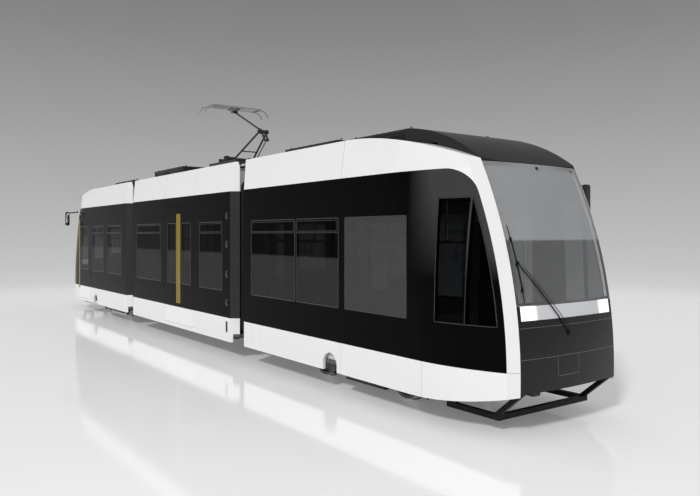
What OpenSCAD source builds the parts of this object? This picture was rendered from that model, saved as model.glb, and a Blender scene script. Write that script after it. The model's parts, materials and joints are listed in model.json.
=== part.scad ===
// Three-section low-floor tram: a middle section hung between two end sections with cabs.
// Millimetres. X runs along the tram towards the front cab, Y across it, Z up.
// Z = 0 is what the wheel flanges stand on. The rear section is the front one turned
// half a turn about Z, and the middle section maps onto itself in the same turn.

/* [Overall] */
// Width over the side walls
body_w = 2300; // [2100:10:2650]
// Length of the middle section over its end posts
mid_len = 5048; // [4700:10:6000]
// Length of an end section from its end posts to the nose tip
end_len = 5434; // [5100:10:6500]
// Gap between two sections, closed by the bellows
gap_len = 292; // [280:4:360]
// Corner cut at the section ends, along the tram
corner_x = 104; // [100:2:130]
// Corner cut at the section ends, across the tram
corner_y = 130; // [130:5:220]

/* [Heights] */
// Lower edge of the skirts
skirt_z = 285; // [240:5:320]
// Line between the skirts and the dark side band
belt_z = 680; // [600:5:760]
// Line between the dark side band and the roof's side rail
cant_z = 2780; // [2740:5:3000]
// Height of the roof deck above the roof's lower face
deck_h = 340; // [280:5:400]
// Height of the side rails above the roof deck
rail_h = 145; // [100:5:200]
// Top of the floor
floor_z = 420; // [410:2:480]
// Thickness of the floor
floor_t = 45; // [30:1:50]

/* [Shell] */
// Thickness of the side walls and doors
wall_t = 60; // [50:1:80]
// Thickness of the skirts
skirt_t = 40; // [25:1:50]
// How far the roof's side rails lean in at their top
rail_lean = 60; // [30:5:100]
// Width of the roof's side rails at their top
rail_w = 50; // [30:5:80]
// Thickness of the side glass
glass_t = 10; // [6:1:16]
// Recess of the side glass from the outer face
glass_in = 2; // [1:0.5:6]
// Thickness of the windscreen
screen_t = 14; // [10:1:20]
// Joint gap round the doors
door_gap = 4; // [3:0.5:8]
// Joint gap between two skirt panels
seam = 4; // [2:0.5:8]
// Joint gap between the corner pillars and the windscreen and mask
front_gap = 0.5; // [0.3:0.1:0.9]

/* [Nose] */
// Length over which the sides draw in to the nose
nose_len = 1130; // [900:10:1300]
// Height of the cross axis that the nose's curve turns about
nose_z = 600; // [500:10:800]
// Radius of the nose tip about that axis
nose_r = 5150; // [4800:10:5400]
// Half the width of the windscreen and front mask
front_y = 800; // [700:5:880]
// Forward bulge of the front between its edges
crown = 50; // [30:2:80]
// Depth of the corner pillars along the tram
pillar_x = 80; // [60:2:110]
// Width of the corner pillars across the tram
pillar_y = 112; // [90:2:130]
// Angle at which the side leaves its straight line
side_bend = 1.5; // [1:0.1:3]
// Lower edge of the front mask
mask_z = 460; // [400:5:520]
// Thickness of the front mask
mask_t = 40; // [25:1:60]
// Lower edge of the lamp bar
lamp_z = 1194; // [1100:2:1240]
// Height of the lamp bar
lamp_h = 143; // [100:1:180]
// Half the width of the lamp bar
lamp_y = 752; // [600:2:780]
// Top edge of the windscreen
screen_top = 2849; // [2810:1:2870]

/* [Windows and doors] */
// Window sill
sill_z = 1120; // [1000:5:1250]
// Window head
head_z = 2285; // [2100:5:2400]
// Cab window head
cab_head_z = 2465; // [2300:5:2550]
// Lower edge of the door leaves
door_z = 360; // [340:2:400]
// Top edge of the doorways
door_top = 2600; // [2500:5:2700]
// Border of a door leaf round its window
leaf_rim = 135; // [100:5:180]

/* [Running gear] */
// Distance between the axles of a bogie
wheelbase = 1800; // [1600:10:1900]
// Bogie pivot behind the start of the nose curve
bogie_back = 1780; // [1700:10:1900]
// Rolling radius of the wheels
tread_r = 285; // [270:1:290]
// Height of the wheel flanges
flange_h = 25; // [20:1:28]
// Distance between the backs of the wheels on an axle
back_to_back = 994; // [980:1:1000]
// Width of a wheel rim
rim_w = 120; // [100:1:130]
// Radius of the axle journals
journal_r = 40; // [35:1:45]
// Radial running clearance of journals and pins
fit = 0.05; // [0.02:0.01:0.08]
// Radius of the bogie pivot pin
pivot_r = 60; // [40:1:80]
// Radius of the pins that join the sections
hitch_r = 35; // [25:1:45]
// Radius of the tow bar's pin hole
tow_r = 20; // [15:1:30]

/* [Pantograph] */
// Main pivot, along the tram
main_x = 660; // [600:10:720]
// Main pivot height
main_z = 3530; // [3500:5:3600]
// Knuckle, ahead of the main pivot
knuckle_dx = 790; // [750:5:830]
// Knuckle, above the main pivot
knuckle_dz = 450; // [430:5:470]
// Head pivot, behind the knuckle
head_dx = 1180; // [1140:5:1220]
// Head pivot, above the knuckle
head_dz = 540; // [520:5:560]
// Half the length of the contact strips
strip_y = 510; // [450:5:560]
// Half the width over the horns
horn_y = 720; // [680:5:760]

/* [Hidden] */

fine = 720;  // facets of the large curves
soft = 64;   // facets of pins, tubes and wheels
far = 9000;  // longer than any cut needs

// Stations along the tram
half_w = body_w / 2;
mid_end = mid_len / 2;
end_x = mid_end + gap_len;
hinge_x = mid_end + gap_len / 2;
nose_tip = end_x + end_len;
nose_x = nose_tip - nose_len;
axis_x = nose_tip - nose_r;
bogie_x = nose_x - bogie_back;
axle_x = [bogie_x - wheelbase / 2, bogie_x + wheelbase / 2];

// Heights
floor_low = floor_z - floor_t;
tow_x = nose_tip - 550;
deck_z = cant_z + deck_h;
roof_z = deck_z + rail_h;
axle_z = tread_r + flange_h;
screen_low = lamp_z + lamp_h + 4;

// Plan of the nose, measured from its cross axis
side_x = nose_r - nose_len;
front_x = nose_r - crown;
pillar_back = front_x - pillar_x;
pillar_out = front_y + pillar_y;
side_d = [pillar_back - side_x, pillar_out - half_w];
side_n = [-sin(side_bend), -cos(side_bend)];
side_r = (side_d * side_d) / (2 * side_d * side_n);
side_c = [side_x, half_w] + side_r * side_n;
crown_r = (front_y * front_y + crown * crown) / (2 * crown);

// Openings in the walls: x from, x to, z from, z to. The sides are named by the way they face.
// The near side is -Y in the front section, and the door side is +Y there.
near_windows = [
    [end_x + 341, end_x + 1651, sill_z, head_z],
    [end_x + 1681, end_x + 2724, sill_z, head_z],
    [end_x + 2854, nose_x - 251, sill_z, head_z]
];
door_windows = [
    [end_x + 449, end_x + 1564, sill_z, head_z],
    [end_x + 1844, end_x + 2863, sill_z, head_z]
];
end_doorway = [nose_x - 1225, nose_x - 170];
cab_window_x = nose_x + 177;
cab_mullion = [nose_x + 550, nose_x + 570];
cab_post = 60;   // cab side wall left between the glass and the pillar
// Middle section, -Y side; the +Y side is the same turned half a turn
mid_windows = [[-2187, -745, sill_z, head_z], [1175, 2113, sill_z, head_z]];
mid_doorway = [-508, 920];

// Skirt panels of an end section: x from, x to
skirt_panels = [[end_x, end_x + 2769], [end_x + 2769 + seam, nose_x], [nose_x + seam, nose_tip]];

// Lower edge of the skirts: the arch by each bogie and the sweep up to the nose
arch_r = 160;
arch_rise = 81;            // centre of the arch above the lower edge
sweep_len = 1350;
sweep_r = 5600;

// Posts, portals and gangways
post_x = corner_x + 6;     // depth of the end posts
portal_y = 700;            // half width of the gangway
portal_top = 2450;
portal_t = 44;
plate_r = 560;             // turning plate over the gangway floor
plate_t = 8;
rest_gap = 0.3;            // air between a piece and what it rests on without being fixed
bellows_y = half_w - corner_y - 20;
bellows_t = 40;
bellows_top = 2950;

// Running gear
wheel_in = back_to_back / 2;
wheel_out = wheel_in + rim_w;
flange_r = tread_r + flange_h;
frame_y = 660;             // inner face of the bogie's side beams
beam_w = 100;
box_in = 385;              // inner face of the wheel boxes
box_out = 740;
box_len = 800;
box_top = axle_z + flange_r + 30;
box_t = 15;

// Pantograph pivots in the X-Z plane
main_p = [main_x, main_z];
knuckle_p = main_p + [knuckle_dx, knuckle_dz];
head_p = knuckle_p + [-head_dx, head_dz];
lever_d = [130, -170];     // from the knuckle to the eye of the pull rod
lever_p = knuckle_p + lever_d;
rod_p = [898, 3249];       // pull rod's pivot on the base
rod_u = (lever_p - rod_p) / norm(lever_p - rod_p);
rod_pin_r = 12;
lever_bore = 8;
base_x = [-80, 1130];      // base frame, from and to along the tram
base_y = 330;              // inner faces of its side rails
base_z = main_z - 90;

function at_xz(p, y) = [p[0], y, p[1]];
function tri_centre(a, b, c) =
    let (d = 2 * (a[0] * (b[1] - c[1]) + b[0] * (c[1] - a[1]) + c[0] * (a[1] - b[1])))
    [(a * a * (b[1] - c[1]) + b * b * (c[1] - a[1]) + c * c * (a[1] - b[1])) / d,
     (a * a * (c[0] - b[0]) + b * b * (a[0] - c[0]) + c * c * (b[0] - a[0])) / d];

// Helpers

// A box from its two corners
module span(low, high) translate(low) cube(high - low);

// A round bar between two points
module bar(a, b, r) {
    d = b - a;
    translate(a) rotate([0, acos(d[2] / norm(d)), atan2(d[1], d[0])]) cylinder(r = r, h = norm(d), $fn = soft);
}

// A cylinder across the tram, centred on the tram's middle plane or between two y values
module cross_pin(p, r, y0, y1, f = soft)
    translate([p[0], y1, p[1]]) rotate([90, 0, 0]) cylinder(r = r, h = y1 - y0, $fn = f);

// A piece of the front section, or the same piece of the rear section
module in_end(rear) rotate([0, 0, rear ? 180 : 0]) children();

// Everything outside the nose form, which is drawn in by t
module outside_nose(t)
    translate([axis_x, 0, nose_z]) rotate([90, 0, 0]) rotate_extrude($fn = fine) difference() {
        translate([side_x - 5, -half_w - 150]) square([nose_len + 600, body_w + 300]);
        intersection() {
            for_side_arc(t, 1);
            for_side_arc(t, -1);
            translate([nose_r - crown_r, 0]) circle(r = crown_r - t, $fn = fine);
            corner_line(t);
        }
    }
module for_side_arc(t, s) translate([side_c[0], s * side_c[1]]) circle(r = side_r - t, $fn = fine);
module corner_line(t) {
    u = [pillar_x, -pillar_y] / norm([pillar_x, pillar_y]);
    n = [-u[1], u[0]];
    a = [pillar_back, pillar_out] - t * n - 400 * u;
    b = [front_x, front_y] - t * n + 400 * u;
    polygon([[0, -a[1]], [a[0], -a[1]], [b[0], -b[1]], b, a, [0, a[1]]]);
}

// Everything within a radius of the nose's cross axis
module nose_disc(r)
    translate([axis_x, half_w + 200, nose_z]) rotate([90, 0, 0]) cylinder(r = r, h = body_w + 400, $fn = fine);

// The two cut corners of an end post at x = x0; s is +1 where the section lies towards +X
module corner_cuts(x0, s) {
    w = half_w - corner_y;
    for (m = [0, 1]) mirror([0, m, 0]) translate([0, 0, -100]) linear_extrude(far / 2)
        polygon([[x0 - s, w], [x0, w], [x0 + s * corner_x, half_w], [x0 + s * corner_x, half_w + 99],
                 [x0 - s, half_w + 99]]);
}

// Side shell of an end section, t thick, on the side s, between two heights
module end_side(t, s, z0, z1)
    difference() {
        intersection() {
            span([end_x, s > 0 ? front_y : -half_w, z0], [nose_tip, s > 0 ? half_w : -front_y, z1]);
            union() {
                for (y0 = [t - half_w - 100, half_w - t]) span([end_x, y0 - (y0 < 0 ? t : 0), z0 - 1],
                    [nose_tip, y0 + 100 + (y0 > 0 ? t : 0), z1 + 1]);
                outside_nose(t);
            }
        }
        outside_nose(0);
        corner_cuts(end_x, 1);
    }

// Through cuts for a table of openings, on the side s
module side_cuts(table, s, gap = 0)
    for (w = table) span([w[0] - gap, s > 0 ? front_y : -half_w - 100, w[2] - gap],
        [w[1] + gap, s > 0 ? half_w + 100 : -front_y, w[3] + gap]);

// Cab window opening on the side s, its front edge cut at the given radius
module cab_cuts(s, r)
    intersection() {
        side_cuts([[cab_window_x, cab_mullion[0], sill_z + 5, cab_head_z],
                   [cab_mullion[1], nose_tip, sill_z + 5, cab_head_z]], s);
        nose_disc(r);
    }

// Roof cross-section
module roof_section()
    polygon([[-half_w, cant_z], [half_w, cant_z], [half_w - rail_lean, roof_z],
             [half_w - rail_lean - rail_w, roof_z], [half_w - rail_lean - rail_w - 30, deck_z],
             [-half_w + rail_lean + rail_w + 30, deck_z], [-half_w + rail_lean + rail_w, roof_z],
             [-half_w + rail_lean, roof_z]]);
module roof_bar(x0, x1)
    translate([x0, 0, 0]) rotate([90, 0, 90]) linear_extrude(x1 - x0) roof_section();

// End section

// Wheel box over one wheel, open below
module wheel_box(x, s)
    difference() {
        span([x - box_len / 2, s > 0 ? box_in : -box_out, floor_low],
             [x + box_len / 2, s > 0 ? box_out : -box_in, box_top]);
        span([x - box_len / 2 + box_t, s > 0 ? box_in + box_t : -box_out + box_t, floor_low - 1],
             [x + box_len / 2 - box_t, s > 0 ? box_out - box_t : -box_in - box_t, box_top - box_t]);
    }

module end_floor(rear) color("dimgray") in_end(rear) {
    difference() {
        span([end_x, -half_w + skirt_t, floor_low], [nose_tip - 330, half_w - skirt_t, floor_z]);
        outside_nose(skirt_t + rest_gap);
        corner_cuts(end_x, 1);
        translate([end_x - corner_x, 0, 0]) corner_cuts(0, 1);
        for (x = axle_x, s = [-1, 1]) span([x - box_len / 2 + 1, s > 0 ? box_in + 1 : 1 - box_out, 0],
            [x + box_len / 2 - 1, s > 0 ? box_out - 1 : -box_in - 1, far]);
        translate([bogie_x, 0, 0]) cylinder(r = pivot_r + fit, h = far, $fn = soft);
        span([end_doorway[0] - 10, half_w - wall_t - rest_gap, 0], [end_doorway[1] + 10, half_w, far]);
    }
    for (x = axle_x, s = [-1, 1]) wheel_box(x, s);
    // tongue for a tow bar's pin
    difference() {
        span([tow_x - 300, -60, floor_low - 115], [tow_x + 60, 60, floor_low]);
        span([tow_x - 100, -61, floor_low - 75], [tow_x + 61, 61, floor_low + 1]);
        translate([tow_x, 0, 0]) cylinder(r = tow_r, h = far, $fn = soft);
    }
    // upper half of the joint that carries the middle section
    difference() {
        span([hinge_x - 50, -120, floor_low - 35], [end_x + 140, 120, floor_low]);
        translate([hinge_x, 0, 0]) cylinder(r = hitch_r + fit, h = far, $fn = soft);
    }
}

module end_walls(rear) color("#0b0b0d") in_end(rear) for (s = [-1, 1]) difference() {
    union() {
        intersection() {
            end_side(wall_t, s, belt_z, cant_z);
            nose_disc(pillar_back);
        }
        difference() {
            span([end_x, s > 0 ? front_y : -half_w, belt_z],
                 [end_x + post_x, s > 0 ? half_w : -front_y, cant_z]);
            corner_cuts(end_x, 1);
        }
    }
    side_cuts(s < 0 ? near_windows : door_windows, s);
    cab_cuts(s, pillar_back - cab_post);
    if (s > 0) side_cuts([[end_doorway[0], end_doorway[1], 0, door_top]], s);
}

module end_skirts(rear) color("white") in_end(rear) for (s = [-1, 1], p = skirt_panels) difference() {
    union() {
        intersection() {
            end_side(skirt_t, s, skirt_z, belt_z);
            span([p[0], -half_w, 0], [p[1], half_w, far]);
        }
        if (p[0] == end_x) difference() {
            span([end_x, s > 0 ? front_y : -half_w, floor_z],
                 [end_x + post_x, s > 0 ? half_w : -front_y, belt_z]);
            corner_cuts(end_x, 1);
        }
    }
    // small arch by the bogie
    cross_pin([bogie_x, skirt_z + arch_rise], arch_r, -half_w - 9, half_w + 9);
    span([bogie_x - arch_r, -half_w - 9, 0], [bogie_x + arch_r, half_w + 9, skirt_z + arch_rise]);
    // the lower edge sweeps up towards the nose
    translate([nose_tip - sweep_len, half_w + 99, skirt_z]) rotate([90, 0, 0]) linear_extrude(body_w + 198)
        polygon([for (i = [0:6]) let (d = i * sweep_len / 6) [d, d * d / (2 * sweep_r)],
                 [sweep_len, -200], [0, -200]]);
    if (s > 0) side_cuts([[end_doorway[0], end_doorway[1], door_z - door_gap, far]], s);
}

module end_pillars(rear) color("white") in_end(rear) for (s = [-1, 1]) difference() {
    end_side(wall_t, s, belt_z + 3, cant_z);
    nose_disc(pillar_back + 0.3);
}

// Shell of the front between the pillars, t thick, drawn in by d
module front_shell(t, d, y, z0, z1)
    difference() {
        intersection() {
            span([nose_x, -y, z0], [nose_tip, y, z1]);
            outside_nose(d + t);
        }
        outside_nose(d);
    }

module end_mask(rear) color("#151517") in_end(rear) difference() {
    front_shell(mask_t, 0, front_y - front_gap, mask_z, screen_low - 4);
    span([nose_x, -lamp_y - 2, lamp_z - 2], [nose_tip, lamp_y + 2, screen_low]);
}

module end_lamp_bar(rear) color("whitesmoke") in_end(rear)
    front_shell(mask_t - 6, 3, lamp_y + 2, lamp_z - 2, lamp_z + lamp_h);

module end_windscreen(rear) color("gray", 0.5) in_end(rear)
    front_shell(screen_t, 1, front_y - front_gap, screen_low, screen_top);

module hood_side() {
    a = [nose_tip - 1795, roof_z + 77];
    b = [nose_tip - 1150, roof_z - 73];
    c = [nose_tip - 660, roof_z - 327];
    m = tri_centre(a, b, c);
    intersection() {
        polygon([[a[0], deck_z], [a[0], a[1] + 20], [nose_tip, a[1] + 20], [nose_tip, screen_top + 2],
                 [nose_x - 120, screen_top + 2], [nose_x - 120, deck_z]]);
        translate(m) circle(r = norm(a - m), $fn = fine);
    }
}
module end_hood(rear) color("#101012") in_end(rear) difference() {
    translate([0, front_y - front_gap, 0]) rotate([90, 0, 0])
        linear_extrude(2 * (front_y - front_gap)) hood_side();
    outside_nose(0);
}

module end_roof(rear) color("white") in_end(rear) difference() {
    roof_bar(end_x, nose_tip);
    outside_nose(0);
    corner_cuts(end_x, 1);
    span([nose_x - 120, -front_y, cant_z - 1], [nose_tip, front_y, far]);
    // the top falls away towards the nose
    difference() {
        span([nose_tip - 2560, -half_w - 9, cant_z + 1], [nose_tip + 9, half_w + 9, far]);
        translate([nose_tip - 2750, half_w + 99, roof_z - 6197]) rotate([90, 0, 0])
            cylinder(r = 6200, h = body_w + 198, $fn = fine);
    }
}

module end_windows(rear) color("#303236", 0.5) in_end(rear) for (s = [-1, 1]) difference() {
    intersection() {
        end_side(glass_in + glass_t, s, sill_z - 5, cab_head_z + 5);
        union() {
            side_cuts(s < 0 ? near_windows : door_windows, s);
            cab_cuts(s, pillar_back - cab_post - 0.3);
            if (s > 0) side_cuts([leaf_window(end_doorway)], s);
        }
    }
    outside_nose(glass_in);
    for (y0 = [-half_w - 100, half_w - glass_in]) span([end_x, y0, 0], [nose_tip, y0 + 100 + glass_in, far]);
}

// Window of a single door leaf that fills the doorway d
function leaf_window(d) = [d[0] + leaf_rim, d[1] - leaf_rim, sill_z + 5, head_z];

// One door leaf between x0 and x1 on the side s
module leaf(x0, x1, s)
    difference() {
        span([x0, s > 0 ? half_w - wall_t : -half_w, door_z],
             [x1, s > 0 ? half_w : wall_t - half_w, door_top - door_gap]);
        side_cuts([leaf_window([x0 - door_gap, x1 + door_gap])], s);
    }

module end_door(rear) color("#0b0b0d") in_end(rear) difference() {
    leaf(end_doorway[0] + door_gap, end_doorway[1] - door_gap, 1);
    outside_nose(0);
}

module portal(x0, x1) difference() {
    span([x0, -front_y, floor_z], [x1, front_y, cant_z]);
    span([x0 - 1, -portal_y, floor_z - 1], [x1 + 1, portal_y, portal_top]);
}
module end_portal(rear) color("gray") in_end(rear) portal(end_x, end_x + portal_t);

module middle_portals() color("gray") for (r = [false, true]) in_end(r) portal(mid_end - portal_t, mid_end);

// One seat facing +X or -X (face), its back at x, between two y values, on a stand from z0
module seat(x, face, y0, y1, z0, cushion_z) {
    f = face;
    span([min(x, x + f * 440), y0, cushion_z - 70], [max(x, x + f * 440), y1, cushion_z]);
    span([min(x, x + f * 70), y0, cushion_z], [max(x, x + f * 70), y1, cushion_z + 520]);
    span([min(x + f * 60, x + f * 380), y0 + 60, z0], [max(x + f * 60, x + f * 380), y1 - 60, cushion_z - 70]);
}
seat_z = floor_z + 450;
seat_out = half_w - wall_t - 20;
module end_seats(rear) color("#3a3f4c") in_end(rear)
    for (a = [-1, 1], s = [-1, 1], f = [-1, 1])
        if (s < 0 || a < 0) seat(bogie_x + a * wheelbase / 2 + f * 4, f,
            s > 0 ? seat_out - 460 : -seat_out, s > 0 ? seat_out : 460 - seat_out, box_top, seat_z);

// Bench along the side wall of the middle section
module bench(x0, x1) {
    span([x0, -seat_out, seat_z - 70], [x1, -seat_out + 440, seat_z]);
    span([x0, -seat_out, seat_z], [x1, -seat_out + 70, seat_z + 520]);
    span([x0 + 60, -seat_out + 60, floor_z], [x1 - 60, -seat_out + 380, seat_z - 70]);
}
module middle_seats() color("#3a3f4c") for (r = [false, true]) in_end(r) {
    bench(-2160, -760);
    bench(1180, 2100);
}

// Driver's desk, seat and the partition behind the cab
module end_desk(rear) color("#2a2b2e") in_end(rear) {
    span([nose_x + 420, -700, floor_z], [nose_x + 800, 700, 1020]);
    span([nose_x + 60, -280, 870], [nose_x + 400, 200, 940]);
    span([nose_x + 10, -280, 870], [nose_x + 60, 200, 1560]);
    span([nose_x + 150, -120, floor_z], [nose_x + 320, 40, 870]);
    span([nose_x - 120, -980, floor_z], [nose_x - 90, 300, 2300]);
}

module end_roof_units(rear) color("#17181a") in_end(rear) {
    span([end_x + 734, -750, deck_z], [end_x + 2140, 750, roof_z + 105]);
    span([end_x + 2424, -750, deck_z], [nose_tip - 1815, 750, roof_z + 75]);
}

// Mirror on an arm from the side's upper front corner
module end_mirror(rear) color("#101012") in_end(rear) {
    span([nose_x + 330, 1270, 2330], [nose_x + 390, 1390, 2700]);
    intersection() {
        bar([nose_x + 360, 1330, 2690], [nose_x + 330, 900, 2740], 18);
        outside_nose(-rest_gap);
    }
}

module end_guard(rear) color("#101012") in_end(rear) {
    for (s = [-1, 1]) {
        span([nose_tip - 1140, s * 730 - 30, 130], [nose_tip - 370, s * 730 + 30, 190]);
        span([nose_tip - 1140, s * 730 - 30, 190], [nose_tip - 1000, s * 730 + 30, floor_low]);
        translate([0, s * 730 + 25, 0]) rotate([90, 0, 0]) linear_extrude(50)
            polygon([[nose_tip - 450, 190], [nose_tip - 370, 190], [nose_tip - 50, mask_z - rest_gap],
                     [nose_tip - 130, mask_z - rest_gap]]);
    }
    span([nose_tip - 430, -700, 130], [nose_tip - 370, 700, 190]);
}

// Bogie

module end_bogie(rear) color("#2b2d30") in_end(rear) translate([bogie_x, 0, 0]) {
    difference() {
        union() {
            for (s = [-1, 1]) {
                y0 = s > 0 ? frame_y : -frame_y - beam_w;
                span([-wheelbase / 2, y0, 230], [wheelbase / 2, y0 + beam_w, floor_low - 25]);
                for (a = [-1, 1]) span([a * wheelbase / 2 - 110, y0, axle_z - 110],
                    [a * wheelbase / 2 + 110, y0 + beam_w, floor_low - 12]);
            }
            span([-150, -frame_y - 5, 210], [150, frame_y + 5, floor_low - 25]);
            cylinder(r = pivot_r, h = floor_z - 6, $fn = soft);
        }
        for (a = [-1, 1]) cross_pin([a * wheelbase / 2, axle_z], journal_r + fit,
            -frame_y - beam_w - 9, frame_y + beam_w + 9);
        translate([0, 0, -1]) cylinder(r = pivot_r + 1, h = 211, $fn = soft);
    }
    // pads that carry the section
    for (s = [-1, 1]) translate([0, s * 330, floor_low - 25]) cylinder(r = 90, h = 25 - rest_gap, $fn = soft);
    // motors between the axles and magnetic brakes above the rails
    for (a = [-1, 1]) span([a > 0 ? 150 : -560, -400, 160], [a > 0 ? 560 : -150, 400, floor_low - 30]);
    for (s = [-1, 1]) {
        span([-420, s > 0 ? 500 : -580, 45], [420, s > 0 ? 580 : -500, 110]);
        span([-60, s > 0 ? 520 : -560, 110], [60, s > 0 ? 560 : -520, 210]);
    }
}

// Half of a wheelset's outline: radius, distance from the middle
wheel_rim = tread_r - 45;
wheelset_half = [
    [55, wheel_in - 15], [95, wheel_in - 15], [95, wheel_in + 25], [wheel_rim, wheel_in + 40],
    [wheel_rim, wheel_in],
    [flange_r - 6, wheel_in], [flange_r, wheel_in + 8], [flange_r, wheel_in + 14], [tread_r, wheel_in + 30],
    [tread_r - 3, wheel_out], [wheel_rim, wheel_out], [wheel_rim, wheel_in + 68], [95, wheel_in + 55],
    [95, wheel_out - 10], [journal_r, wheel_out - 10], [journal_r, frame_y + beam_w + 15], [0, frame_y + beam_w + 15]
];
module wheelset(x) color("#5c5f63") translate([x, 0, axle_z]) rotate([90, 0, 0])
    rotate_extrude($fn = 128) polygon(concat(wheelset_half,
        [for (i = [len(wheelset_half) - 1:-1:0]) [wheelset_half[i][0], -wheelset_half[i][1]]]));

// Middle section

module middle_floor() color("dimgray") {
    difference() {
        span([-mid_end, -half_w + skirt_t, floor_low], [mid_end, half_w - skirt_t, floor_z]);
        for (r = [false, true]) in_end(r) {
            corner_cuts(mid_end, -1);
            span([mid_doorway[0] - 10, -half_w, 0], [mid_doorway[1] + 10, wall_t + rest_gap - half_w, far]);
        }
    }
    // lower half of the joint to each end section, with its pin
    for (r = [false, true]) in_end(r) {
        span([mid_end - 134, -120, floor_low - 75], [hinge_x + 50, 120, floor_low - 40]);
        span([mid_end - 134, -120, floor_low - 41], [mid_end - 24, 120, floor_low]);
        translate([hinge_x, 0, floor_low - 41]) cylinder(r = hitch_r, h = 38, $fn = soft);
    }
}

module middle_walls() color("#0b0b0d") for (r = [false, true]) in_end(r) difference() {
    union() {
        span([-mid_end, -half_w, belt_z], [mid_end, wall_t - half_w, cant_z]);
        for (x0 = [-mid_end, mid_end - post_x]) span([x0, -half_w, belt_z], [x0 + post_x, -front_y, cant_z]);
    }
    corner_cuts(-mid_end, 1);
    corner_cuts(mid_end, -1);
    side_cuts(mid_windows, -1);
    side_cuts([[mid_doorway[0], mid_doorway[1], 0, door_top]], -1);
}

module middle_skirts() color("white") for (r = [false, true]) in_end(r) difference() {
    union() {
        span([-mid_end, -half_w, skirt_z], [mid_end, skirt_t - half_w, belt_z]);
        for (x0 = [-mid_end, mid_end - post_x]) span([x0, -half_w, floor_z], [x0 + post_x, -front_y, belt_z]);
    }
    corner_cuts(-mid_end, 1);
    corner_cuts(mid_end, -1);
    side_cuts([[mid_doorway[0], mid_doorway[1], door_z - door_gap, far]], -1);
}

module middle_roof() color("white") difference() {
    roof_bar(-mid_end, mid_end);
    corner_cuts(-mid_end, 1);
    corner_cuts(mid_end, -1);
}

mid_split = (mid_doorway[0] + mid_doorway[1]) / 2;
mid_leaves = [[mid_doorway[0] + door_gap, mid_split - door_gap / 2],
              [mid_split + door_gap / 2, mid_doorway[1] - door_gap]];
module middle_doors() color("#0b0b0d") for (r = [false, true]) in_end(r)
    for (l = mid_leaves) leaf(l[0], l[1], -1);

module middle_windows() color("#303236", 0.5) for (r = [false, true]) in_end(r) intersection() {
    span([-mid_end, glass_in - half_w, sill_z - 5], [mid_end, glass_in + glass_t - half_w, head_z + 5]);
    union() {
        side_cuts(mid_windows, -1);
        side_cuts([for (l = mid_leaves) leaf_window([l[0] - door_gap, l[1] + door_gap])], -1);
    }
}

module middle_roof_unit() color("#17181a") {
    span([-2250, -720, deck_z], [-620, 720, roof_z + 195]);
}

module gangway_plates() color("silver") for (r = [false, true]) in_end(r)
    translate([hinge_x, 0, floor_z + rest_gap]) cylinder(r = plate_r, h = plate_t, $fn = 128);

module bellows(rear) color("#141416") in_end(rear) difference() {
    span([mid_end, -bellows_y, floor_z + 20], [end_x - rest_gap, bellows_y, bellows_top]);
    span([mid_end - 1, bellows_t - bellows_y, floor_z + 20 + bellows_t],
         [end_x + 1, bellows_y - bellows_t, bellows_top - bellows_t]);
}

// Pantograph

module panto_base() color("#3a3c40") {
    difference() {
        union() {
            for (s = [-1, 1]) {
                y0 = s > 0 ? base_y : -base_y - 60;
                span([base_x[0], y0, base_z], [base_x[1], y0 + 60, base_z + 40]);
                span([main_x - 50, y0, base_z + 40], [main_x + 50, y0 + 60, main_z + 50]);
                for (x = base_x) translate([x + (x < main_x ? 50 : -50), y0 + 30, deck_z])
                    cylinder(r = 45, h = base_z - deck_z, $fn = soft);
            }
            // cross members: the front one lies on the deck, below the sweep of the pull rod
            span([base_x[0], -base_y - 10, base_z], [base_x[0] + 60, base_y + 10, base_z + 40]);
            span([base_x[1] - 80, -base_y - 10, deck_z], [base_x[1] - 20, base_y + 10, deck_z + 40]);
            span([rod_p[0] - 40, -base_y - 10, base_z], [rod_p[0] + 40, base_y + 10, base_z + 30]);
            for (s = [-1, 1]) span([rod_p[0] - 35, s > 0 ? 20 : -40, rod_p[1] - 35],
                [rod_p[0] + 35, s > 0 ? 40 : -20, base_z + 1]);
        }
        cross_pin(main_p, 25 + fit, -base_y - 70, base_y + 70);
        cross_pin(rod_p, rod_pin_r + fit, -60, 60);
    }
    // spring housing on the rear cross member
    span([base_x[0] + 50, -60, base_z + 40], [base_x[0] + 150, 60, main_z + 40]);
}

module panto_lower_arm() color("#2b2d30") {
    cross_pin(main_p, 25, -base_y - 58, base_y + 58);
    difference() {
        for (s = [-1, 1]) {
            bar(at_xz(main_p, s * 200), at_xz(knuckle_p, s * 78), 18);
            cross_pin(knuckle_p, 42, s > 0 ? 56 : -96, s > 0 ? 96 : -56);
        }
        cross_pin(knuckle_p, 16 + fit, -200, 200);
    }
}

module panto_upper_arm() color("#2b2d30") {
    cross_pin(knuckle_p, 16, -104, 104);
    cross_pin(knuckle_p, 34, -44, 44);
    bar(at_xz(knuckle_p, 0), at_xz(head_p, 0), 16);
    cross_pin(head_p, 12, -70, 70);
    cross_pin(head_p, 26, -40, 40);
    // lever that the pull rod works on
    for (s = [-1, 1]) difference() {
        translate([0, s * 34 + 7, 0]) rotate([90, 0, 0]) linear_extrude(14)
            polygon([knuckle_p + [-25, 0], knuckle_p + [25, 10], lever_p + [22, 5], lever_p + [-12, -22]]);
        cross_pin(lever_p, lever_bore, -60, 60);
    }
}

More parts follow.
